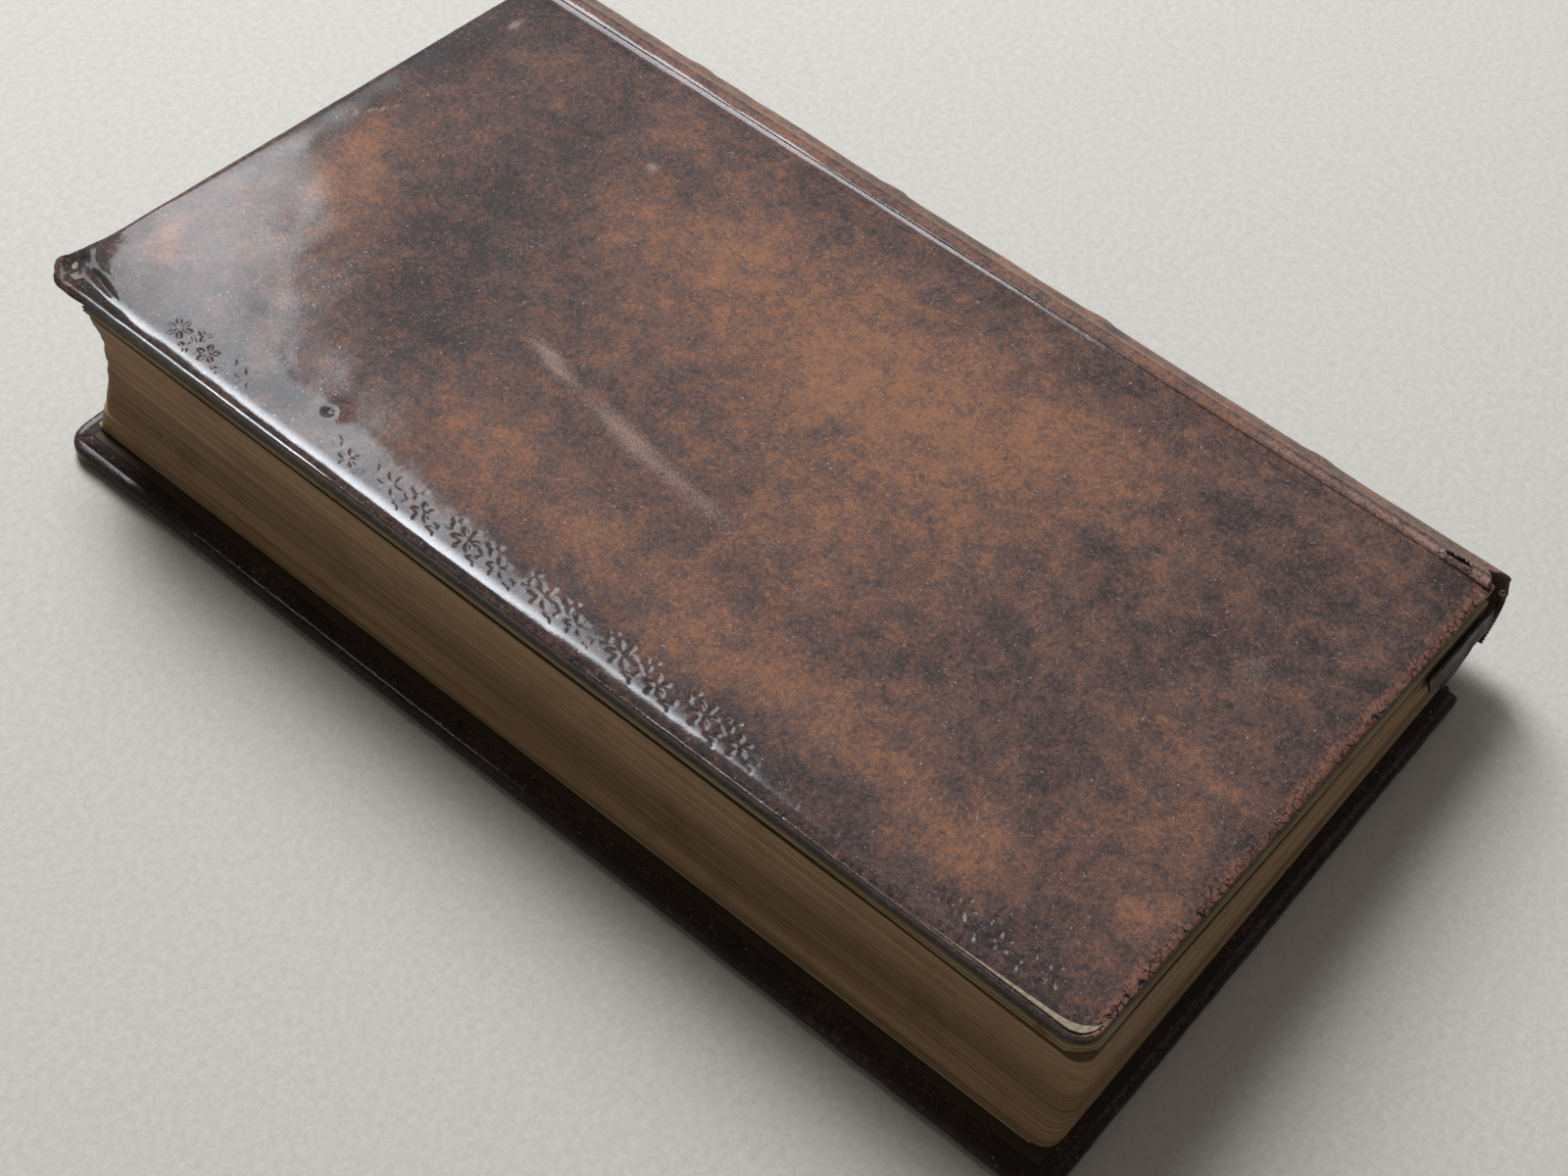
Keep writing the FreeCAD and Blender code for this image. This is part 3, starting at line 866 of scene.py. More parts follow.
# The ragged head of the spine: height, and millimetres past the cover's head there
TORN_HEIGHTS = (-1.0, 4.8, 5.6, 7.4, 8.0, 9.2, 9.6, 12.2, 12.8, 14.6, 17.0, 18.6, 19.6)
TORN_REACHES = (-2.4, -1.6, 0.4, 0.6, 0.8, 0.2, 0.9, 0.4, 1.0, 0.6, -0.6, -2.2, -3.2)


def torn_reach(share):
    height = back_round(SPINE_BULGE, 0, share)[1]
    smooth = np.interp(height, TORN_HEIGHTS, TORN_REACHES)
    return smooth + 0.30 * rough_noise(share * 60, share * 0, 2.2, 88, 4)


def shoulder(share):
    """How far the spine's leather swells out beside the front joint."""
    return 1.25 * bell(share, 0.20, 0.10)


def spine_head_y():
    return FRONT_MIDDLE_Y + COVER_HEIGHT / 2


def band_height(y):
    total = np.zeros_like(y)
    for place in BAND_PLACES:
        total = total + np.exp(-((y - place) / (BAND_HALF_WIDTH * 0.72)) ** 4)
    return total


def make_spine(material, inner_material):
    """The spine's leather: a curved skin with bands, whole at the tail and torn at the head."""
    rows, columns = 430, 46
    share = np.linspace(0, 1, columns)
    head = (spine_head_y() + torn_reach(share))[None, :]
    tail = FRONT_MIDDLE_Y - COVER_HEIGHT / 2
    y = tail + (head - tail) * np.linspace(0, 1, rows)[:, None]
    share = np.broadcast_to(share, y.shape)
    plain = np.stack(back_round(SPINE_BULGE, 0, share))
    high = np.stack(back_round(SPINE_BULGE + BAND_RISE, 0, share))
    deep = np.stack(back_round(SPINE_BULGE - SPINE_SKIN, SPINE_SKIN, share))
    away = (plain - deep) / np.hypot(*(plain - deep))
    band = band_height(y) * smooth_step(0.04, 0.34, share) * smooth_step(0.98, 0.8, share)
    wavy = 0.10 * rough_noise(y, share * 30, 12, 5) + 0.05 * rough_noise(y, share * 30, 3, 6)
    wavy = wavy * smooth_step(0.1, 0.6, np.sin(math.pi * share))
    from_crease = np.abs(share * 30 - 14 - 1.5 * rough_noise(y, y * 0, 18, 12))
    push = wavy - 0.16 * smooth_step(0.3, 0.05, from_crease)
    push = push + shoulder(share) * smooth_step(0, 0.04, share)
    x, z = plain + (high - plain) * band + away * push
    outer = np.stack([x, y, z], -1)
    frayed = np.clip((y - head + 1.2) / 1.2, 0, 1)
    x, z = deep + away * 0.45 * frayed
    inner = np.stack([x, y - 0.25 * frayed * rough_noise(share * 50, y, 1.4, 31), z], -1)
    points = np.concatenate([outer.reshape(-1, 3), inner.reshape(-1, 3)])
    masks = spine_masks(y, share, band, head, tail)
    values = {key: np.concatenate([mask.ravel(), np.zeros(y.size)]) for key, mask in masks.items()}
    piece = new_piece("spine_calf", points, sheet_faces(rows, columns), material, values)
    piece.data.materials.append(inner_material)
    slots = np.ones(len(piece.data.polygons), np.int32)
    slots[:(rows - 1) * (columns - 1)] = 0
    piece.data.polygons.foreach_set("material_index", slots)
    return outward(piece)


def spine_masks(y, share, band, head, tail):
    """Where the spine is tan, dark, rubbed, scuffed, tooled, polished and cracked, 0 to 1."""
    soft = rough_noise(y, share * 30, 5, 21)
    near_head = smooth_step(7, 0.5, head - y)
    near_tail = smooth_step(5, 0.5, y - tail)
    joint = smooth_step(0.10, 0.0, share) + smooth_step(0.90, 1.0, share)
    creases = smooth_step(0.05, 0.0, np.abs(np.sin(share * 22 + 0.5 * soft)))
    ends_rubbed = 0.25 * joint + 0.35 * near_head + 0.4 * near_tail
    beside_bands = band_height(y + 3.4) + band_height(y - 3.4)
    return {
        "tan": 0.60 + 0.2 * soft,
        "stain_and_shade": 0.12 * smooth_step(0.35, 0.5, np.abs(share - 0.5)),
        "rub": np.maximum(band * 0.42 + 0.2 * soft, ends_rubbed),
        "scuff": 0.35 * np.clip(rough_noise(y, share * 30, 9, 34), 0, 1),
        "tool": 0.4 * smooth_step(0.5, 0.9, beside_bands) * (1 - band),
        "polish": 0.15 + 0.2 * joint,
        "crack": np.clip(0.75 * near_head + creases * smooth_step(0.0, 0.5, soft), 0, 1),
    }


# The torn flap folded in over the pages' head: X, and the height of its ragged lower edge there
FLAP_X = (-46.2, -45.4, -44.0, -40.6, -38.0, -34.2, -33.8, -31.0, -29.4, -28.6)
FLAP_LOW = (15.0, 14.2, 13.0, 13.4, 11.0, 10.4, 13.8, 13.4, 14.6, 16.6)
FLAP_HALF_SKIN = 0.25


def make_torn_flap(material):
    """Leather torn from the spine's head, bent over the ends of the leaves."""
    rows, columns = 26, 90
    x = np.linspace(FLAP_X[0], FLAP_X[-1], columns)
    low = np.interp(x, FLAP_X, FLAP_LOW) + 0.35 * rough_noise(x, x * 0, 1.1, 43, 4)
    high = pages_top(x, FLYLEAF_DEPTH + 0.35) - 1.2 * smooth_step(FLAP_X[2] - 0.5, FLAP_X[0], x)
    high = np.maximum(high, low + 0.3)
    t = np.linspace(0, 1, rows)[:, None]
    z = low + (high - low) * t
    x = np.broadcast_to(x, z.shape)
    away = 0.55 + 0.5 * (1 - t) ** 2 + 0.22 * rough_noise(x, z, 4, 44)
    y = PAGES_HEAD_Y + np.maximum(away, 0.35)
    outer = np.stack([x, y + FLAP_HALF_SKIN, z], -1).reshape(-1, 3)
    inner = np.stack([x, y - FLAP_HALF_SKIN, z], -1).reshape(-1, 3)
    edge = smooth_step(0.25, 0.0, t)
    masks = {"tan": -0.1 + 0.2 * edge, "stain_and_shade": 0.35, "rub": 0.35 * edge, "scuff": 0.5 * edge,
             "tool": 0.2, "polish": 0.0, "crack": 0.8 + 0.2 * edge}
    return outward(new_piece("torn_head_flap", np.concatenate([outer, inner]),
                             sheet_faces(rows, columns), material, on_both_sides(masks, z.shape)))


# The strips over the joints: where they start on the spine's round, and their sizes
STRIP_SHARE = 0.055
STRIP_LIFT = 0.06
STRIP_REACH = 1.9
STRIP_SKIN = 0.34


def joint_strip_points(side, rows, columns):
    """A narrow strip of leather over a joint, from the spine's round to the cover's outside."""
    half = COVER_HEIGHT / 2
    along = np.linspace(0.4 - half, half - 0.4, rows) + FRONT_MIDDLE_Y
    y, q = np.meshgrid(along, np.linspace(0, 1, columns), indexing="ij")
    if side == "front":
        start = np.array(back_round(SPINE_BULGE, -STRIP_LIFT, STRIP_SHARE))
        start = start + shoulder(STRIP_SHARE) * np.array([-0.70, 0.71])
        joint = np.array([FRONT_JOINT_X, FRONT_JOINT_Z])
        c, s = math.cos(COVER_TILT), math.sin(COVER_TILT)
        end = joint + np.array([STRIP_REACH * c - 0.02 * s, STRIP_REACH * s + 0.04])
        bend = joint + np.array([-0.1, 0.42])
    else:
        start = np.array(back_round(SPINE_BULGE, -STRIP_LIFT, 1 - STRIP_SHARE))
        joint = np.array([BACK_JOINT_X, 0.0])
        end = joint + np.array([STRIP_REACH, 0.06])
        bend = joint + np.array([-0.1, 0.02])
    past_head = smooth_step(half - 6, half, y - FRONT_MIDDLE_Y)
    y = y - 1.7 * past_head * (1 - q) ** 1.5
    wander = 0.10 * rough_noise(y, q * 0, 7, 14)
    from_start, from_bend, from_end = (1 - q) ** 2, 2 * q * (1 - q), q ** 2
    x = from_start * start[0] + from_bend * (bend[0] + wander) + from_end * end[0]
    z = from_start * start[1] + from_bend * bend[1] + from_end * end[1]
    if side == "front":
        z = z + 0.10 * np.sin(math.pi * q) * (1 + rough_noise(y, q * 3, 9, 15))
    return x, y, z, q


def crack_opening(y):
    """Half width, as a share of the strip, of the crack in the front joint near the head."""
    head = spine_head_y()
    run = smooth_step(head - 27, head - 16, y) * smooth_step(head + 1, head - 4, y)
    hole = np.exp(-((y - (head - 5.5)) / 1.9) ** 4)
    ragged = 0.20 + 0.16 * rough_noise(y, y * 0, 1.0, 73)
    return np.clip(0.05 * run * rough_noise(y, y * 0, 2.2, 71) + ragged * hole, 0, 0.4)


def make_joint_strip(side, material):
    """The leather over one joint. At the front one a ragged crack opens near the head."""
    rows, columns = 420, 17
    x, y, z, q = joint_strip_points(side, rows, columns)
    if side == "back":
        y = y + BACK_MIDDLE_Y - FRONT_MIDDLE_Y
    middle = 0.58 + 0.22 * rough_noise(y, y * 0, 2.6, 72)
    opening = crack_opening(y) if side == "front" else np.zeros_like(y)
    from_middle = np.abs(q - middle)
    inside = from_middle < opening
    lip = bell(from_middle - opening, 0, 0.12) * smooth_step(0.02, 0.08, opening)
    top = np.stack([x, y, z + 0.16 * lip], -1).reshape(-1, 3)
    if side == "front":
        under = top + np.array([0.06, 0, -STRIP_SKIN])
    else:
        under = top + np.array([0.06, 0, STRIP_SKIN])
        under[:, 2] = np.maximum(under[:, 2], 0.1)
    count = rows * columns
    kept = ~(inside[:-1, :-1] & inside[1:, 1:])
    faces = np.array(grid_faces(rows, columns)).reshape(rows - 1, columns - 1, 4)[kept].tolist()
    lower = [[i + count for i in face[::-1]] for face in faces]
    edges = dict.fromkeys((a, b) for face in faces for a, b in zip(face, face[1:] + face[:1]))
    walls = [[b, a, a + count, b + count] for a, b in edges if (b, a) not in edges]
    rubbing = 0.12 + 0.40 * bell(q, 0.72, 0.2)
    worn_line = 0.5 * bell(q, 0.7, 0.16) * smooth_step(25, 60, y)
    masks = {
        "tan": 0.62 + 0.25 * rough_noise(y, q * 3, 8, 51),
        "stain_and_shade": 0.10 + 0.25 * (np.abs(q - 0.5) > 0.42),
        "rub": rubbing + 0.2 * rough_noise(y, q * 3, 4, 52),
        "scuff": 0.2 + 0.3 * rough_noise(y, q, 6, 53) + worn_line,
        "tool": 0.8 * lip,
        "polish": 0.35,
        "crack": np.clip(0.4 + lip + 0.5 * smooth_step(40, 80, y), 0, 1),
    }
    return outward(new_piece(side + "_joint_leather", np.concatenate([top, under]),
                             faces + lower + walls, material, on_both_sides(masks, y.shape)))


# The pages

PAGE_CORNER_RADIUS = 2.4
GATHERING = 7
LEAF_SKIN = 0.13


def pages_top(x, depth):
    """Height of the pages' upper side under the front cover."""
    rise = (x - FRONT_JOINT_X) * math.tan(COVER_TILT)
    return FRONT_JOINT_Z - depth / math.cos(COVER_TILT) + rise


def page_outline(level, hollow):
    """Plan of the leaves at a level, 0 to 1: points round the block and lengths along it."""
    fore = FORE_BOTTOM_X + (FORE_TOP_X - FORE_BOTTOM_X) * level - hollow
    spine = FRONT_JOINT_X + 1.5 + (BACK_JOINT_X - FRONT_JOINT_X) * (1 - level)
    low, high, r = PAGES_TAIL_Y, PAGES_HEAD_Y, PAGE_CORNER_RADIUS
    turn = np.linspace(0, math.pi / 2, 9)
    head = np.linspace(spine, fore - r, 64)[:-1]
    fore_run = np.linspace(high - r, low + r, 110)[1:-1]
    tail = np.linspace(fore - r, spine, 64)[1:]
    back = np.linspace(low, high, 12)[1:-1]
    x = np.concatenate([head, fore - r + r * np.sin(turn), np.full_like(fore_run, fore),
                        fore - r + r * np.cos(turn), tail, np.full_like(back, spine)])
    y = np.concatenate([np.full_like(head, high), high - r + r * np.cos(turn), fore_run,
                        low + r - r * np.sin(turn), np.full_like(tail, low), back])
    step = np.hypot(np.diff(x, prepend=x[0]), np.diff(y, prepend=y[0]))
    return x, y, np.cumsum(step)


def parting_depth(x, y):
    """How far the top leaves have dropped from the flyleaves at the near corner."""
    across = smooth_step(FORE_TOP_X - 15, FORE_TOP_X, x)
    along = smooth_step(PAGES_HEAD_Y - 46, PAGES_HEAD_Y, y)
    return 1.0 * across * along


def page_layer(level, jitter):
    """One level of the leaves: its points, its UVs, and the painted shade with dirt on its edge."""
    x, y, around = page_outline(level, FORE_HOLLOW * 4 * level * (1 - level))
    wave = 0.16 * lattice_noise(around * 0.035, np.full_like(around, level * 9), 1, 8)
    ledge = 0.10 * lattice_noise(around * 0.02, np.full_like(around, level * 60), 1, 19)
    inward = np.maximum(jitter + wave + ledge, -0.12)
    from_x = x - (FORE_TOP_X + FRONT_JOINT_X) / 2
    from_y = y - (PAGES_HEAD_Y + PAGES_TAIL_Y) / 2
    x = x - np.sign(from_x) * inward * (np.abs(from_y) < 80.5)
    y = y - np.sign(from_y) * inward * (np.abs(from_y) > 78)
    top = pages_top(x, PAGES_DEPTH) - parting_depth(x, y) * smooth_step(0.72, 1.0, level)
    z = PAGES_DEPTH + (top - PAGES_DEPTH) * level
    # Painted shade: a dark band round the block about a third of the way up, and darker leaves next to
    # both covers
    band_level = 0.30 + 0.05 * lattice_noise(around * 0.03, around * 0, 1, 4)
    edge = 0.35 * smooth_step(0.06, 0.0, level) + 0.45 * smooth_step(0.93, 1.0, level)
    grime_and_shade = np.clip(0.42 * bell(level, band_level, 0.16) + edge, 0, 0.8)
    return np.stack([x, y, z], -1), np.stack([around, np.full_like(around, level * 20)], -1), grime_and_shade


def make_pages(material, levels):
    """The sewn leaves: a closed block whose edges show the leaves, sewn in gatherings."""
    rng = np.random.default_rng(5)
    jitter = 0.05 * rng.uniform(-1, 1, levels)
    gatherings = rng.uniform(-1, 1, levels // GATHERING + 1)
    jitter = jitter + 0.07 * np.repeat(gatherings, GATHERING)[:levels]
    layers = [page_layer(level, shift) for level, shift in zip(np.linspace(0, 1, levels), jitter)]
    points, spread, grime_and_shade = (np.concatenate(part) for part in zip(*layers))
    ring = len(layers[0][0])
    faces = grid_faces(levels, ring, wrap=True)
    faces.append(list(range(ring))[::-1])
    faces.append([(levels - 1) * ring + i for i in range(ring)])
    piece = new_piece("page_block", points, faces, material, {"grime_and_shade": grime_and_shade})
    layer = piece.data.uv_layers.new(name="leaves")
    corners = np.zeros(len(piece.data.loops), np.int32)
    piece.data.loops.foreach_get("vertex_index", corners)
    layer.data.foreach_set("uv", spread[corners].astype(np.float32).ravel())
    return outward(piece)


def blank_leaf(side, number, count, rows, columns):
    """Upper and under points of one blank leaf, counted from the cover."""
    depth = FLYLEAF_DEPTH + 0.06 + 0.2 * number
    start = (FRONT_JOINT_X if side == "front" else BACK_JOINT_X) + 1.0
    end = (FORE_TOP_X if side == "front" else FORE_BOTTOM_X) - 0.25 - 0.18 * ((number * 7) % 3)
    head = PAGES_HEAD_Y - 0.25 - 0.2 * ((number * 5) % 3)
    along = np.linspace(PAGES_TAIL_Y + 0.5, head, rows)
    y, across = np.meshgrid(along, np.linspace(0, 1, columns), indexing="ij")
    x = start + (end - start) * across
    corner = 1.2 * smooth_step(end - 3.0, end, x) * smooth_step(head - 3.0, head, y)
    x, y = x - corner * across, y - corner
    z = np.full_like(x, depth)
    if side == "front":
        z = pages_top(x, depth) - 0.75 * parting_depth(x, y) * (number / count) ** 2
    sheet = np.stack([x, y, z + 0.03 * rough_noise(x, y, 14, 90 + number)], -1).reshape(-1, 3)
    return np.concatenate([sheet, sheet - np.array([0, 0, LEAF_SKIN])])


def make_flyleaves(side, material, count):
    """Blank leaves one on the other. The front ones part from each other at the near corner."""
    rows, columns = 60, 34
    points = [blank_leaf(side, number, count, rows, columns) for number in range(count)]
    faces = []
    for number in range(count):
        faces += sheet_faces(rows, columns, number * 2 * rows * columns)
    return outward(new_piece(side + "_blank_leaves", np.concatenate(points), faces, material))


# The endbands, wound with thread

def endband_tree(material):
    """Geometry Nodes: rings of thread set along a curve over a round core."""
    tree = bpy.data.node_groups.new("wound_endband", "GeometryNodeTree")
    for label, kind, default in (("Geometry", "NodeSocketGeometry", None),
                                 ("Thread Spacing", "NodeSocketFloat", 0.0005),
                                 ("Thread Radius", "NodeSocketFloat", 0.00014),
                                 ("Core Radius", "NodeSocketFloat", 0.00034)):
        socket = tree.interface.new_socket(name=label, in_out="INPUT", socket_type=kind)
        if default is not None:
            socket.default_value = default
    tree.interface.new_socket(name="Geometry", in_out="OUTPUT", socket_type="NodeSocketGeometry")
    nodes = Tree(tree)
    given, out = nodes.node("NodeGroupInput"), nodes.node("NodeGroupOutput")
    path = given.outputs["Geometry"]

    def circle(resolution, radius):
        sockets = {"Resolution": resolution, "Radius": given.outputs[radius]}
        return nodes.node("GeometryNodeCurvePrimitiveCircle", sockets).outputs["Curve"]

    core = nodes.node("GeometryNodeCurveToMesh", {
        "Curve": path, "Profile Curve": circle(10, "Core Radius"), "Fill Caps": True})
    ring = nodes.node("GeometryNodeCurveToMesh", {
        "Curve": circle(12, "Core Radius"), "Profile Curve": circle(6, "Thread Radius")})
    places = nodes.node("GeometryNodeCurveToPoints", mode="LENGTH")
    nodes.give(places, {"Curve": path, "Length": given.outputs["Thread Spacing"]})
    thread = nodes.node("GeometryNodeInstanceOnPoints", {
        "Points": places.outputs["Points"], "Instance": ring.outputs["Mesh"],
        "Rotation": places.outputs["Rotation"]})
    joined = nodes.node("GeometryNodeJoinGeometry")
    tree.links.new(core.outputs["Mesh"], joined.inputs[0])
    tree.links.new(thread.outputs["Instances"], joined.inputs[0])
    real = nodes.node("GeometryNodeRealizeInstances", {0: joined.outputs[0]})
    finish = nodes.node("GeometryNodeSetMaterial", {"Geometry": real.outputs[0], "Material": material})
    nodes.give(out, {0: finish.outputs[0]})
    return tree


def make_endband(name, node, tree, settings):
    """One endband, along the spine's round where its CAD solid lies."""
    inset = 0.35 if node == "headband" else -0.35
    last = 0.62 if node == "headband" else 0.94
    y = sum(corner[1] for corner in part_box(node)) / 2 / MM - inset
    x, z = back_round(SPINE_BULGE - 1.75, 1.75, np.linspace(0.05, last, 24))
    curve = bpy.data.curves.new(name, "CURVE")
    curve.dimensions = "3D"
    line = curve.splines.new("POLY")
    line.points.add(len(x) - 1)
    for point, px, pz in zip(line.points, x, z):
        point.co = (px * MM, y * MM, pz * MM, 1)
    piece = bpy.data.objects.new(name, curve)
    bpy.context.scene.collection.objects.link(piece)
    modifier = piece.modifiers.new("wound", "NODES")
    modifier.node_group = tree
    names = {item.name: item.identifier for item in tree.interface.items_tree
             if item.item_type == "SOCKET" and item.in_out == "INPUT"}
    for label, value in settings.items():
        modifier[names[label]] = value
    graph = bpy.context.evaluated_depsgraph_get()
    mesh = bpy.data.meshes.new_from_object(piece.evaluated_get(graph))
    bpy.data.objects.remove(piece)
    made = bpy.data.objects.new(name, mesh)
    bpy.context.scene.collection.objects.link(made)
    return made


# Settings

class BookSizes(bpy.types.PropertyGroup):
    roll_step: FloatProperty(
        name="Tooling step", description="Spacing of the mesh under the tooled roll, in millimetres",
        default=0.22, min=0.15, max=1.0)
    cover_rows: IntProperty(
        name="Cover rows", description="Rows of the front cover's mesh from tail to head",
        default=680, min=100, max=900)
    leaf_levels: IntProperty(
        name="Leaf levels", description="Layers of leaves that show at the edges",
        default=120, min=20, max=300)
    flyleaves: IntProperty(
        name="Flyleaves", description="Blank leaves at each end", default=4, min=2, max=8)
    thread_spacing: FloatProperty(
        name="Thread spacing", description="Distance between the endband's turns of thread",
        default=0.0005, min=0.0002, max=0.002, subtype="DISTANCE", unit="LENGTH")


class BookColours(bpy.types.PropertyGroup):
    dark_calf: FloatVectorProperty(
        name="Dark calf", description="The darkest stains of the leather", subtype="COLOR",
        default=(0.024, 0.015, 0.013), min=0, max=1)
    brown_calf: FloatVectorProperty(
        name="Brown calf", description="The leather's middle tone", subtype="COLOR",
        default=(0.088, 0.046, 0.037), min=0, max=1)
    tan_calf: FloatVectorProperty(
        name="Tan calf", description="The leather's warm patches", subtype="COLOR",
        default=(0.255, 0.108, 0.055), min=0, max=1)
    rubbed_calf: FloatVectorProperty(
        name="Rubbed calf", description="Leather worn through its glaze", subtype="COLOR",
        default=(0.235, 0.095, 0.060), min=0, max=1)
    page_pale: FloatVectorProperty(
        name="Pale page edge", description="The cleaner leaves' edges", subtype="COLOR",
        default=(0.46, 0.30, 0.165), min=0, max=1)
    page_brown: FloatVectorProperty(
        name="Brown page edge", description="The browned leaves' edges", subtype="COLOR",
        default=(0.27, 0.155, 0.078), min=0, max=1)
    # This colour paints dirt on the leaves' edges, and painted shade in a band round them and next to
    # the covers
    page_grime_and_shade: FloatVectorProperty(
        name="Page grime and shade", description="Dirt in the hollow of the fore-edge", subtype="COLOR",
        default=(0.085, 0.050, 0.026), min=0, max=1)
    paper: FloatVectorProperty(
        name="Endpaper", description="The blank leaves and pastedowns", subtype="COLOR",
        default=(0.56, 0.46, 0.31), min=0, max=1)
    paper_stain: FloatVectorProperty(
        name="Endpaper stain", description="Soft stains of the paper", subtype="COLOR",
        default=(0.40, 0.28, 0.15), min=0, max=1)
    floor: FloatVectorProperty(
        name="Floor", description="The pale floor", subtype="COLOR",
        default=(0.62, 0.575, 0.52), min=0, max=1)


def sizes():
    return bpy.context.scene.book_sizes


def colours():
    return bpy.context.scene.book_colours


def calf_tints():
    tints = colours()
    return tints.dark_calf, tints.brown_calf, tints.tan_calf, tints.rubbed_calf


MATERIALS = {}


def finish_named(name):
    """A material by its name, made when it is first asked for."""
    makers = {
        "cover_calf": lambda: calf_material("cover_calf", calf_tints()),
        "suede": lambda: suede_material("suede", SUEDE_TINT),
        "endpaper": lambda: paper_material("endpaper", colours().paper, colours().paper_stain),
        "shaded_dirty_endpaper": lambda: paper_material("shaded_dirty_endpaper", colours().paper,
                                                 colours().paper_stain, SHADE_AND_DIRT_FROM),
        "page_edges": lambda: page_edge_material(colours().page_pale, colours().page_brown,
                                                 colours().page_grime_and_shade),
        "paste_board": board_material,
        "hemp": lambda: hemp_material("hemp", HEMP_TINT),
        "endband_thread": lambda: hemp_material("endband_thread", THREAD_TINT),
    }
    if name not in MATERIALS:
        MATERIALS[name] = makers[name]()
    return MATERIALS[name]


def refinish(node, name):
    """Gives a carried-over CAD node a better material."""
    mesh = frame["nodes"][node].data
    if mesh.materials:
        mesh.materials[0] = finish_named(name)
    else:
        mesh.materials.append(finish_named(name))


# Operators

class BOOK_OT_covers(bpy.types.Operator):
    """Makes the leather of both covers"""
    bl_idname = "old_book.covers"
    bl_label = "Covers"

    def execute(self, context):
        calf = finish_named("cover_calf")
        plans = (("front", sizes().roll_step, sizes().cover_rows),
                 ("back", BACK_ROLL_STEP, BACK_ROWS))
        for side, fine, rows in plans:
            piece = make_cover(side, fine, rows, calf)
            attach(piece, side + "_cover")
            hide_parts(side + "_leather")
        return {"FINISHED"}


class BOOK_OT_spine(bpy.types.Operator):
    """Makes the leather of the spine and of both joints"""
    bl_idname = "old_book.spine"
    bl_label = "Spine and joints"

    def execute(self, context):
        calf = finish_named("cover_calf")
        spine = make_spine(calf, finish_named("suede"))
        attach(spine, "pages")
        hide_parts("spine_leather")
        flap = make_torn_flap(calf)
        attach(flap, "pages")
        for side, height in (("front", FRONT_JOINT_Z), ("back", 0.0)):
            strip = make_joint_strip(side, calf)
            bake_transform(strip)
        return {"FINISHED"}


class BOOK_OT_pages(bpy.types.Operator):
    """Makes the sewn leaves and the blank leaves"""
    bl_idname = "old_book.pages"
    bl_label = "Pages"

    def execute(self, context):
        block = make_pages(finish_named("page_edges"), sizes().leaf_levels)
        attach(block, "pages")
        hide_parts("text_block")
        for side in ("front", "back"):
            leaves = make_flyleaves(side, finish_named("endpaper"), sizes().flyleaves)
            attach(leaves, "pages")
            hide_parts(side + "_flyleaves")
        return {"FINISHED"}


class BOOK_OT_endbands(bpy.types.Operator):
    """Winds both endbands with thread"""
    bl_idname = "old_book.endbands"
    bl_label = "Endbands"

    def execute(self, context):
        tree = endband_tree(finish_named("endband_thread"))
        for node in ("headband", "tailband"):
            settings = {"Thread Spacing": sizes().thread_spacing}
            piece = make_endband(node + "_thread", node, tree, settings)
            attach(piece, "pages")
            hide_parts(node)
        return {"FINISHED"}


class BOOK_OT_inner_finishes(bpy.types.Operator):
    """Finishes the boards, pastedowns, cords and slips"""
    bl_idname = "old_book.inner_finishes"
    bl_label = "Boards, pastedowns and cords"

    def execute(self, context):
        for side in ("front", "back"):
            refinish(side + "_board", "paste_board")
            refinish(side + "_pastedown", "shaded_dirty_endpaper")
            for number in CORDS:
                refinish("%s_slip_%d" % (side, number), "hemp")
        for number in CORDS:
            refinish("sewing_cord_%d" % number, "hemp")
        return {"FINISHED"}


class BOOK_OT_stage(bpy.types.Operator):
    """Makes the floor, the light and the camera"""
    bl_idname = "old_book.stage"
    bl_label = "Stage"

    def execute(self, context):
        make_floor()
        make_lights()
        make_camera()
        return {"FINISHED"}


# The stage

CAMERA_AZIMUTH = 124.73
CAMERA_ELEVATION = 53.98
CAMERA_ROLL = 6.09
CAMERA_DISTANCE = 346.6
CAMERA_TARGET = (3.76, 6.19, 0.0)
FOCAL_PIXELS = 2652.6
PHOTO_WIDTH = 1600
SENSOR_WIDTH = 36.0
FLOOR_HALF_SIZE = 3.0


def make_floor():
    material, nodes, shader, place = new_material("pale_floor")
    grain = nodes.noise(place, 0.9, 6, 0.85)
    tint = colours().floor
    soft = darker(tint, 0.82, 0.82, 0.81)
    nodes.give(shader, {
        "Base Color": nodes.mix(nodes.span(grain, 0.3, 0.7), soft, colour(tint)),
        "Normal": nodes.bump(grain, 0.06 * MM),
        "Roughness": 0.95,
        "Specular IOR Level": 0.1,
    })
    size = FLOOR_HALF_SIZE
    mesh = bpy.data.meshes.new("floor")
    corners = [(-size, -size, 0), (size, -size, 0), (size, size, 0), (-size, size, 0)]
    mesh.from_pydata(corners, [], [(0, 1, 2, 3)])
    mesh.materials.append(material)
    floor = bpy.data.objects.new("floor", mesh)
    bpy.context.scene.collection.objects.link(floor)


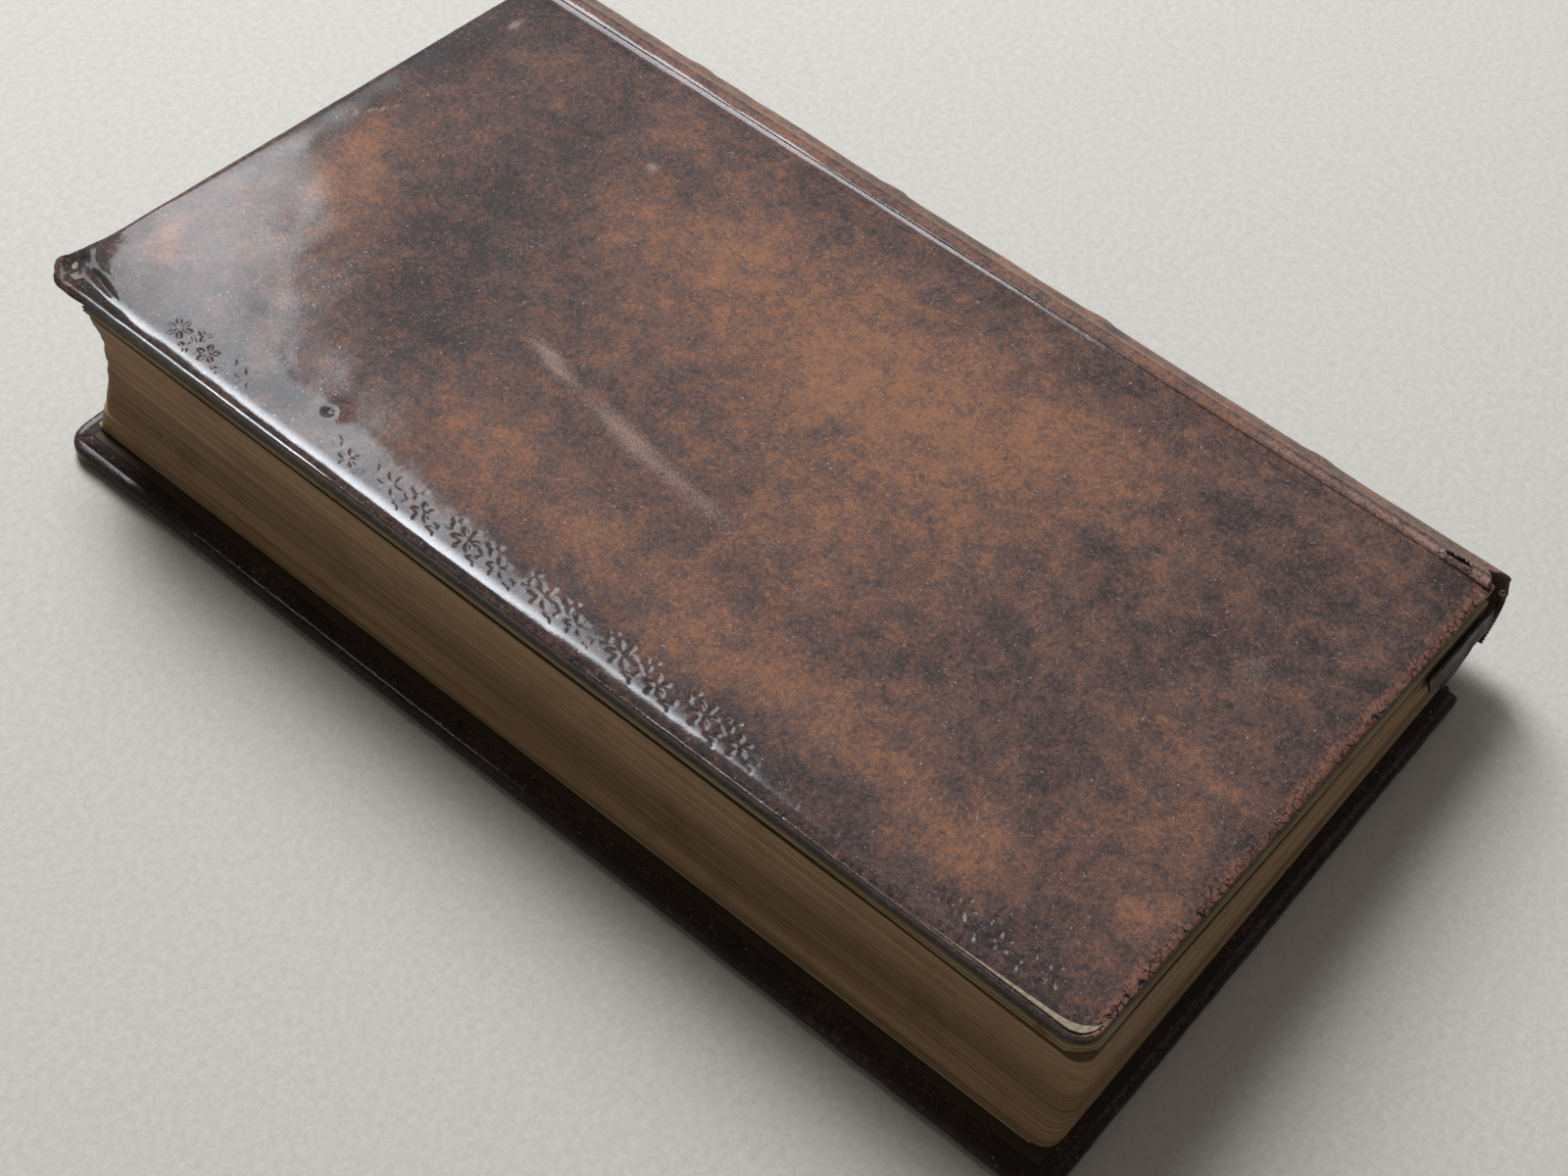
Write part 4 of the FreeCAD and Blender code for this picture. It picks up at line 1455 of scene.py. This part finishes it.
def area_light(name, azimuth, elevation, distance, width, height, watts, tint):
    """A soft lamp in a direction, azimuth counted from +X towards +Y."""
    lamp = bpy.data.lights.new(name, "AREA")
    lamp.shape = "RECTANGLE"
    lamp.size, lamp.size_y = width, height
    lamp.energy = watts
    lamp.color = tint
    a, e = math.radians(azimuth), math.radians(elevation)
    toward = Vector((math.cos(a) * math.cos(e), math.sin(a) * math.cos(e), math.sin(e)))
    placed = bpy.data.objects.new(name, lamp)
    placed.location = toward * distance
    placed.rotation_mode = "QUATERNION"
    placed.rotation_quaternion = toward.to_track_quat("Z", "Y")
    bpy.context.scene.collection.objects.link(placed)


def make_lights():
    """A window behind the spine, the pale wall beside it and a weak fill from the near side."""
    area_light("window", 240, 48, 1.0, 0.36, 0.66, 14.8, (0.88, 0.94, 1.0))
    area_light("pale_wall", 196, 44, 1.3, 1.5, 1.2, 3.6, (0.90, 0.94, 1.0))
    area_light("soft_fill", 30, 25, 1.2, 1.0, 1.0, 0.6, (1.0, 0.95, 0.88))
    world = bpy.data.worlds.new("studio")
    world.use_nodes = True
    background = world.node_tree.nodes["Background"]
    background.inputs["Color"].default_value = (1.0, 0.95, 0.88, 1)
    background.inputs["Strength"].default_value = 0.09
    bpy.context.scene.world = world
    bpy.context.scene.view_settings.view_transform = "Standard"


def make_camera():
    camera = bpy.data.cameras.new("camera")
    camera.sensor_width = SENSOR_WIDTH
    camera.lens = FOCAL_PIXELS / PHOTO_WIDTH * SENSOR_WIDTH
    camera.clip_start, camera.clip_end = 0.01, 20
    a, e = math.radians(CAMERA_AZIMUTH), math.radians(CAMERA_ELEVATION)
    back = Vector((math.sin(a) * math.cos(e), -math.cos(a) * math.cos(e), math.sin(e)))
    placed = bpy.data.objects.new("camera", camera)
    placed.location = (Vector(CAMERA_TARGET) + back * CAMERA_DISTANCE) * MM
    placed.rotation_mode = "QUATERNION"
    straight = (-back).to_track_quat("-Z", "Y")
    placed.rotation_quaternion = straight @ Quaternion((0, 0, 1), math.radians(CAMERA_ROLL))
    bpy.context.scene.collection.objects.link(placed)
    bpy.context.scene.camera = placed


class BOOK_PT_panel(bpy.types.Panel):
    """Lists the book's pieces"""
    bl_idname = "BOOK_PT_panel"
    bl_label = "Old book"
    bl_space_type = "VIEW_3D"
    bl_region_type = "UI"
    bl_category = "Old book"

    def draw(self, context):
        for operator in PIECE_OPERATORS:
            self.layout.operator(operator.bl_idname)
        for group in (context.scene.book_sizes, context.scene.book_colours):
            box = self.layout.box()
            for key in group.__annotations__:
                box.prop(group, key)


PIECE_OPERATORS = (BOOK_OT_covers, BOOK_OT_spine, BOOK_OT_pages, BOOK_OT_endbands,
                   BOOK_OT_inner_finishes, BOOK_OT_stage)
CLASSES = (BookSizes, BookColours) + PIECE_OPERATORS + (BOOK_PT_panel,)


def register():
    for item in CLASSES:
        bpy.utils.register_class(item)
    bpy.types.Scene.book_sizes = PointerProperty(type=BookSizes)
    bpy.types.Scene.book_colours = PointerProperty(type=BookColours)


def unregister():
    del bpy.types.Scene.book_colours
    del bpy.types.Scene.book_sizes
    for item in reversed(CLASSES):
        bpy.utils.unregister_class(item)


def main():
    register()
    bpy.ops.old_book.covers()
    bpy.ops.old_book.spine()
    bpy.ops.old_book.pages()
    bpy.ops.old_book.endbands()
    bpy.ops.old_book.inner_finishes()
    bpy.ops.old_book.stage()


if __name__ == "__main__":
    main()
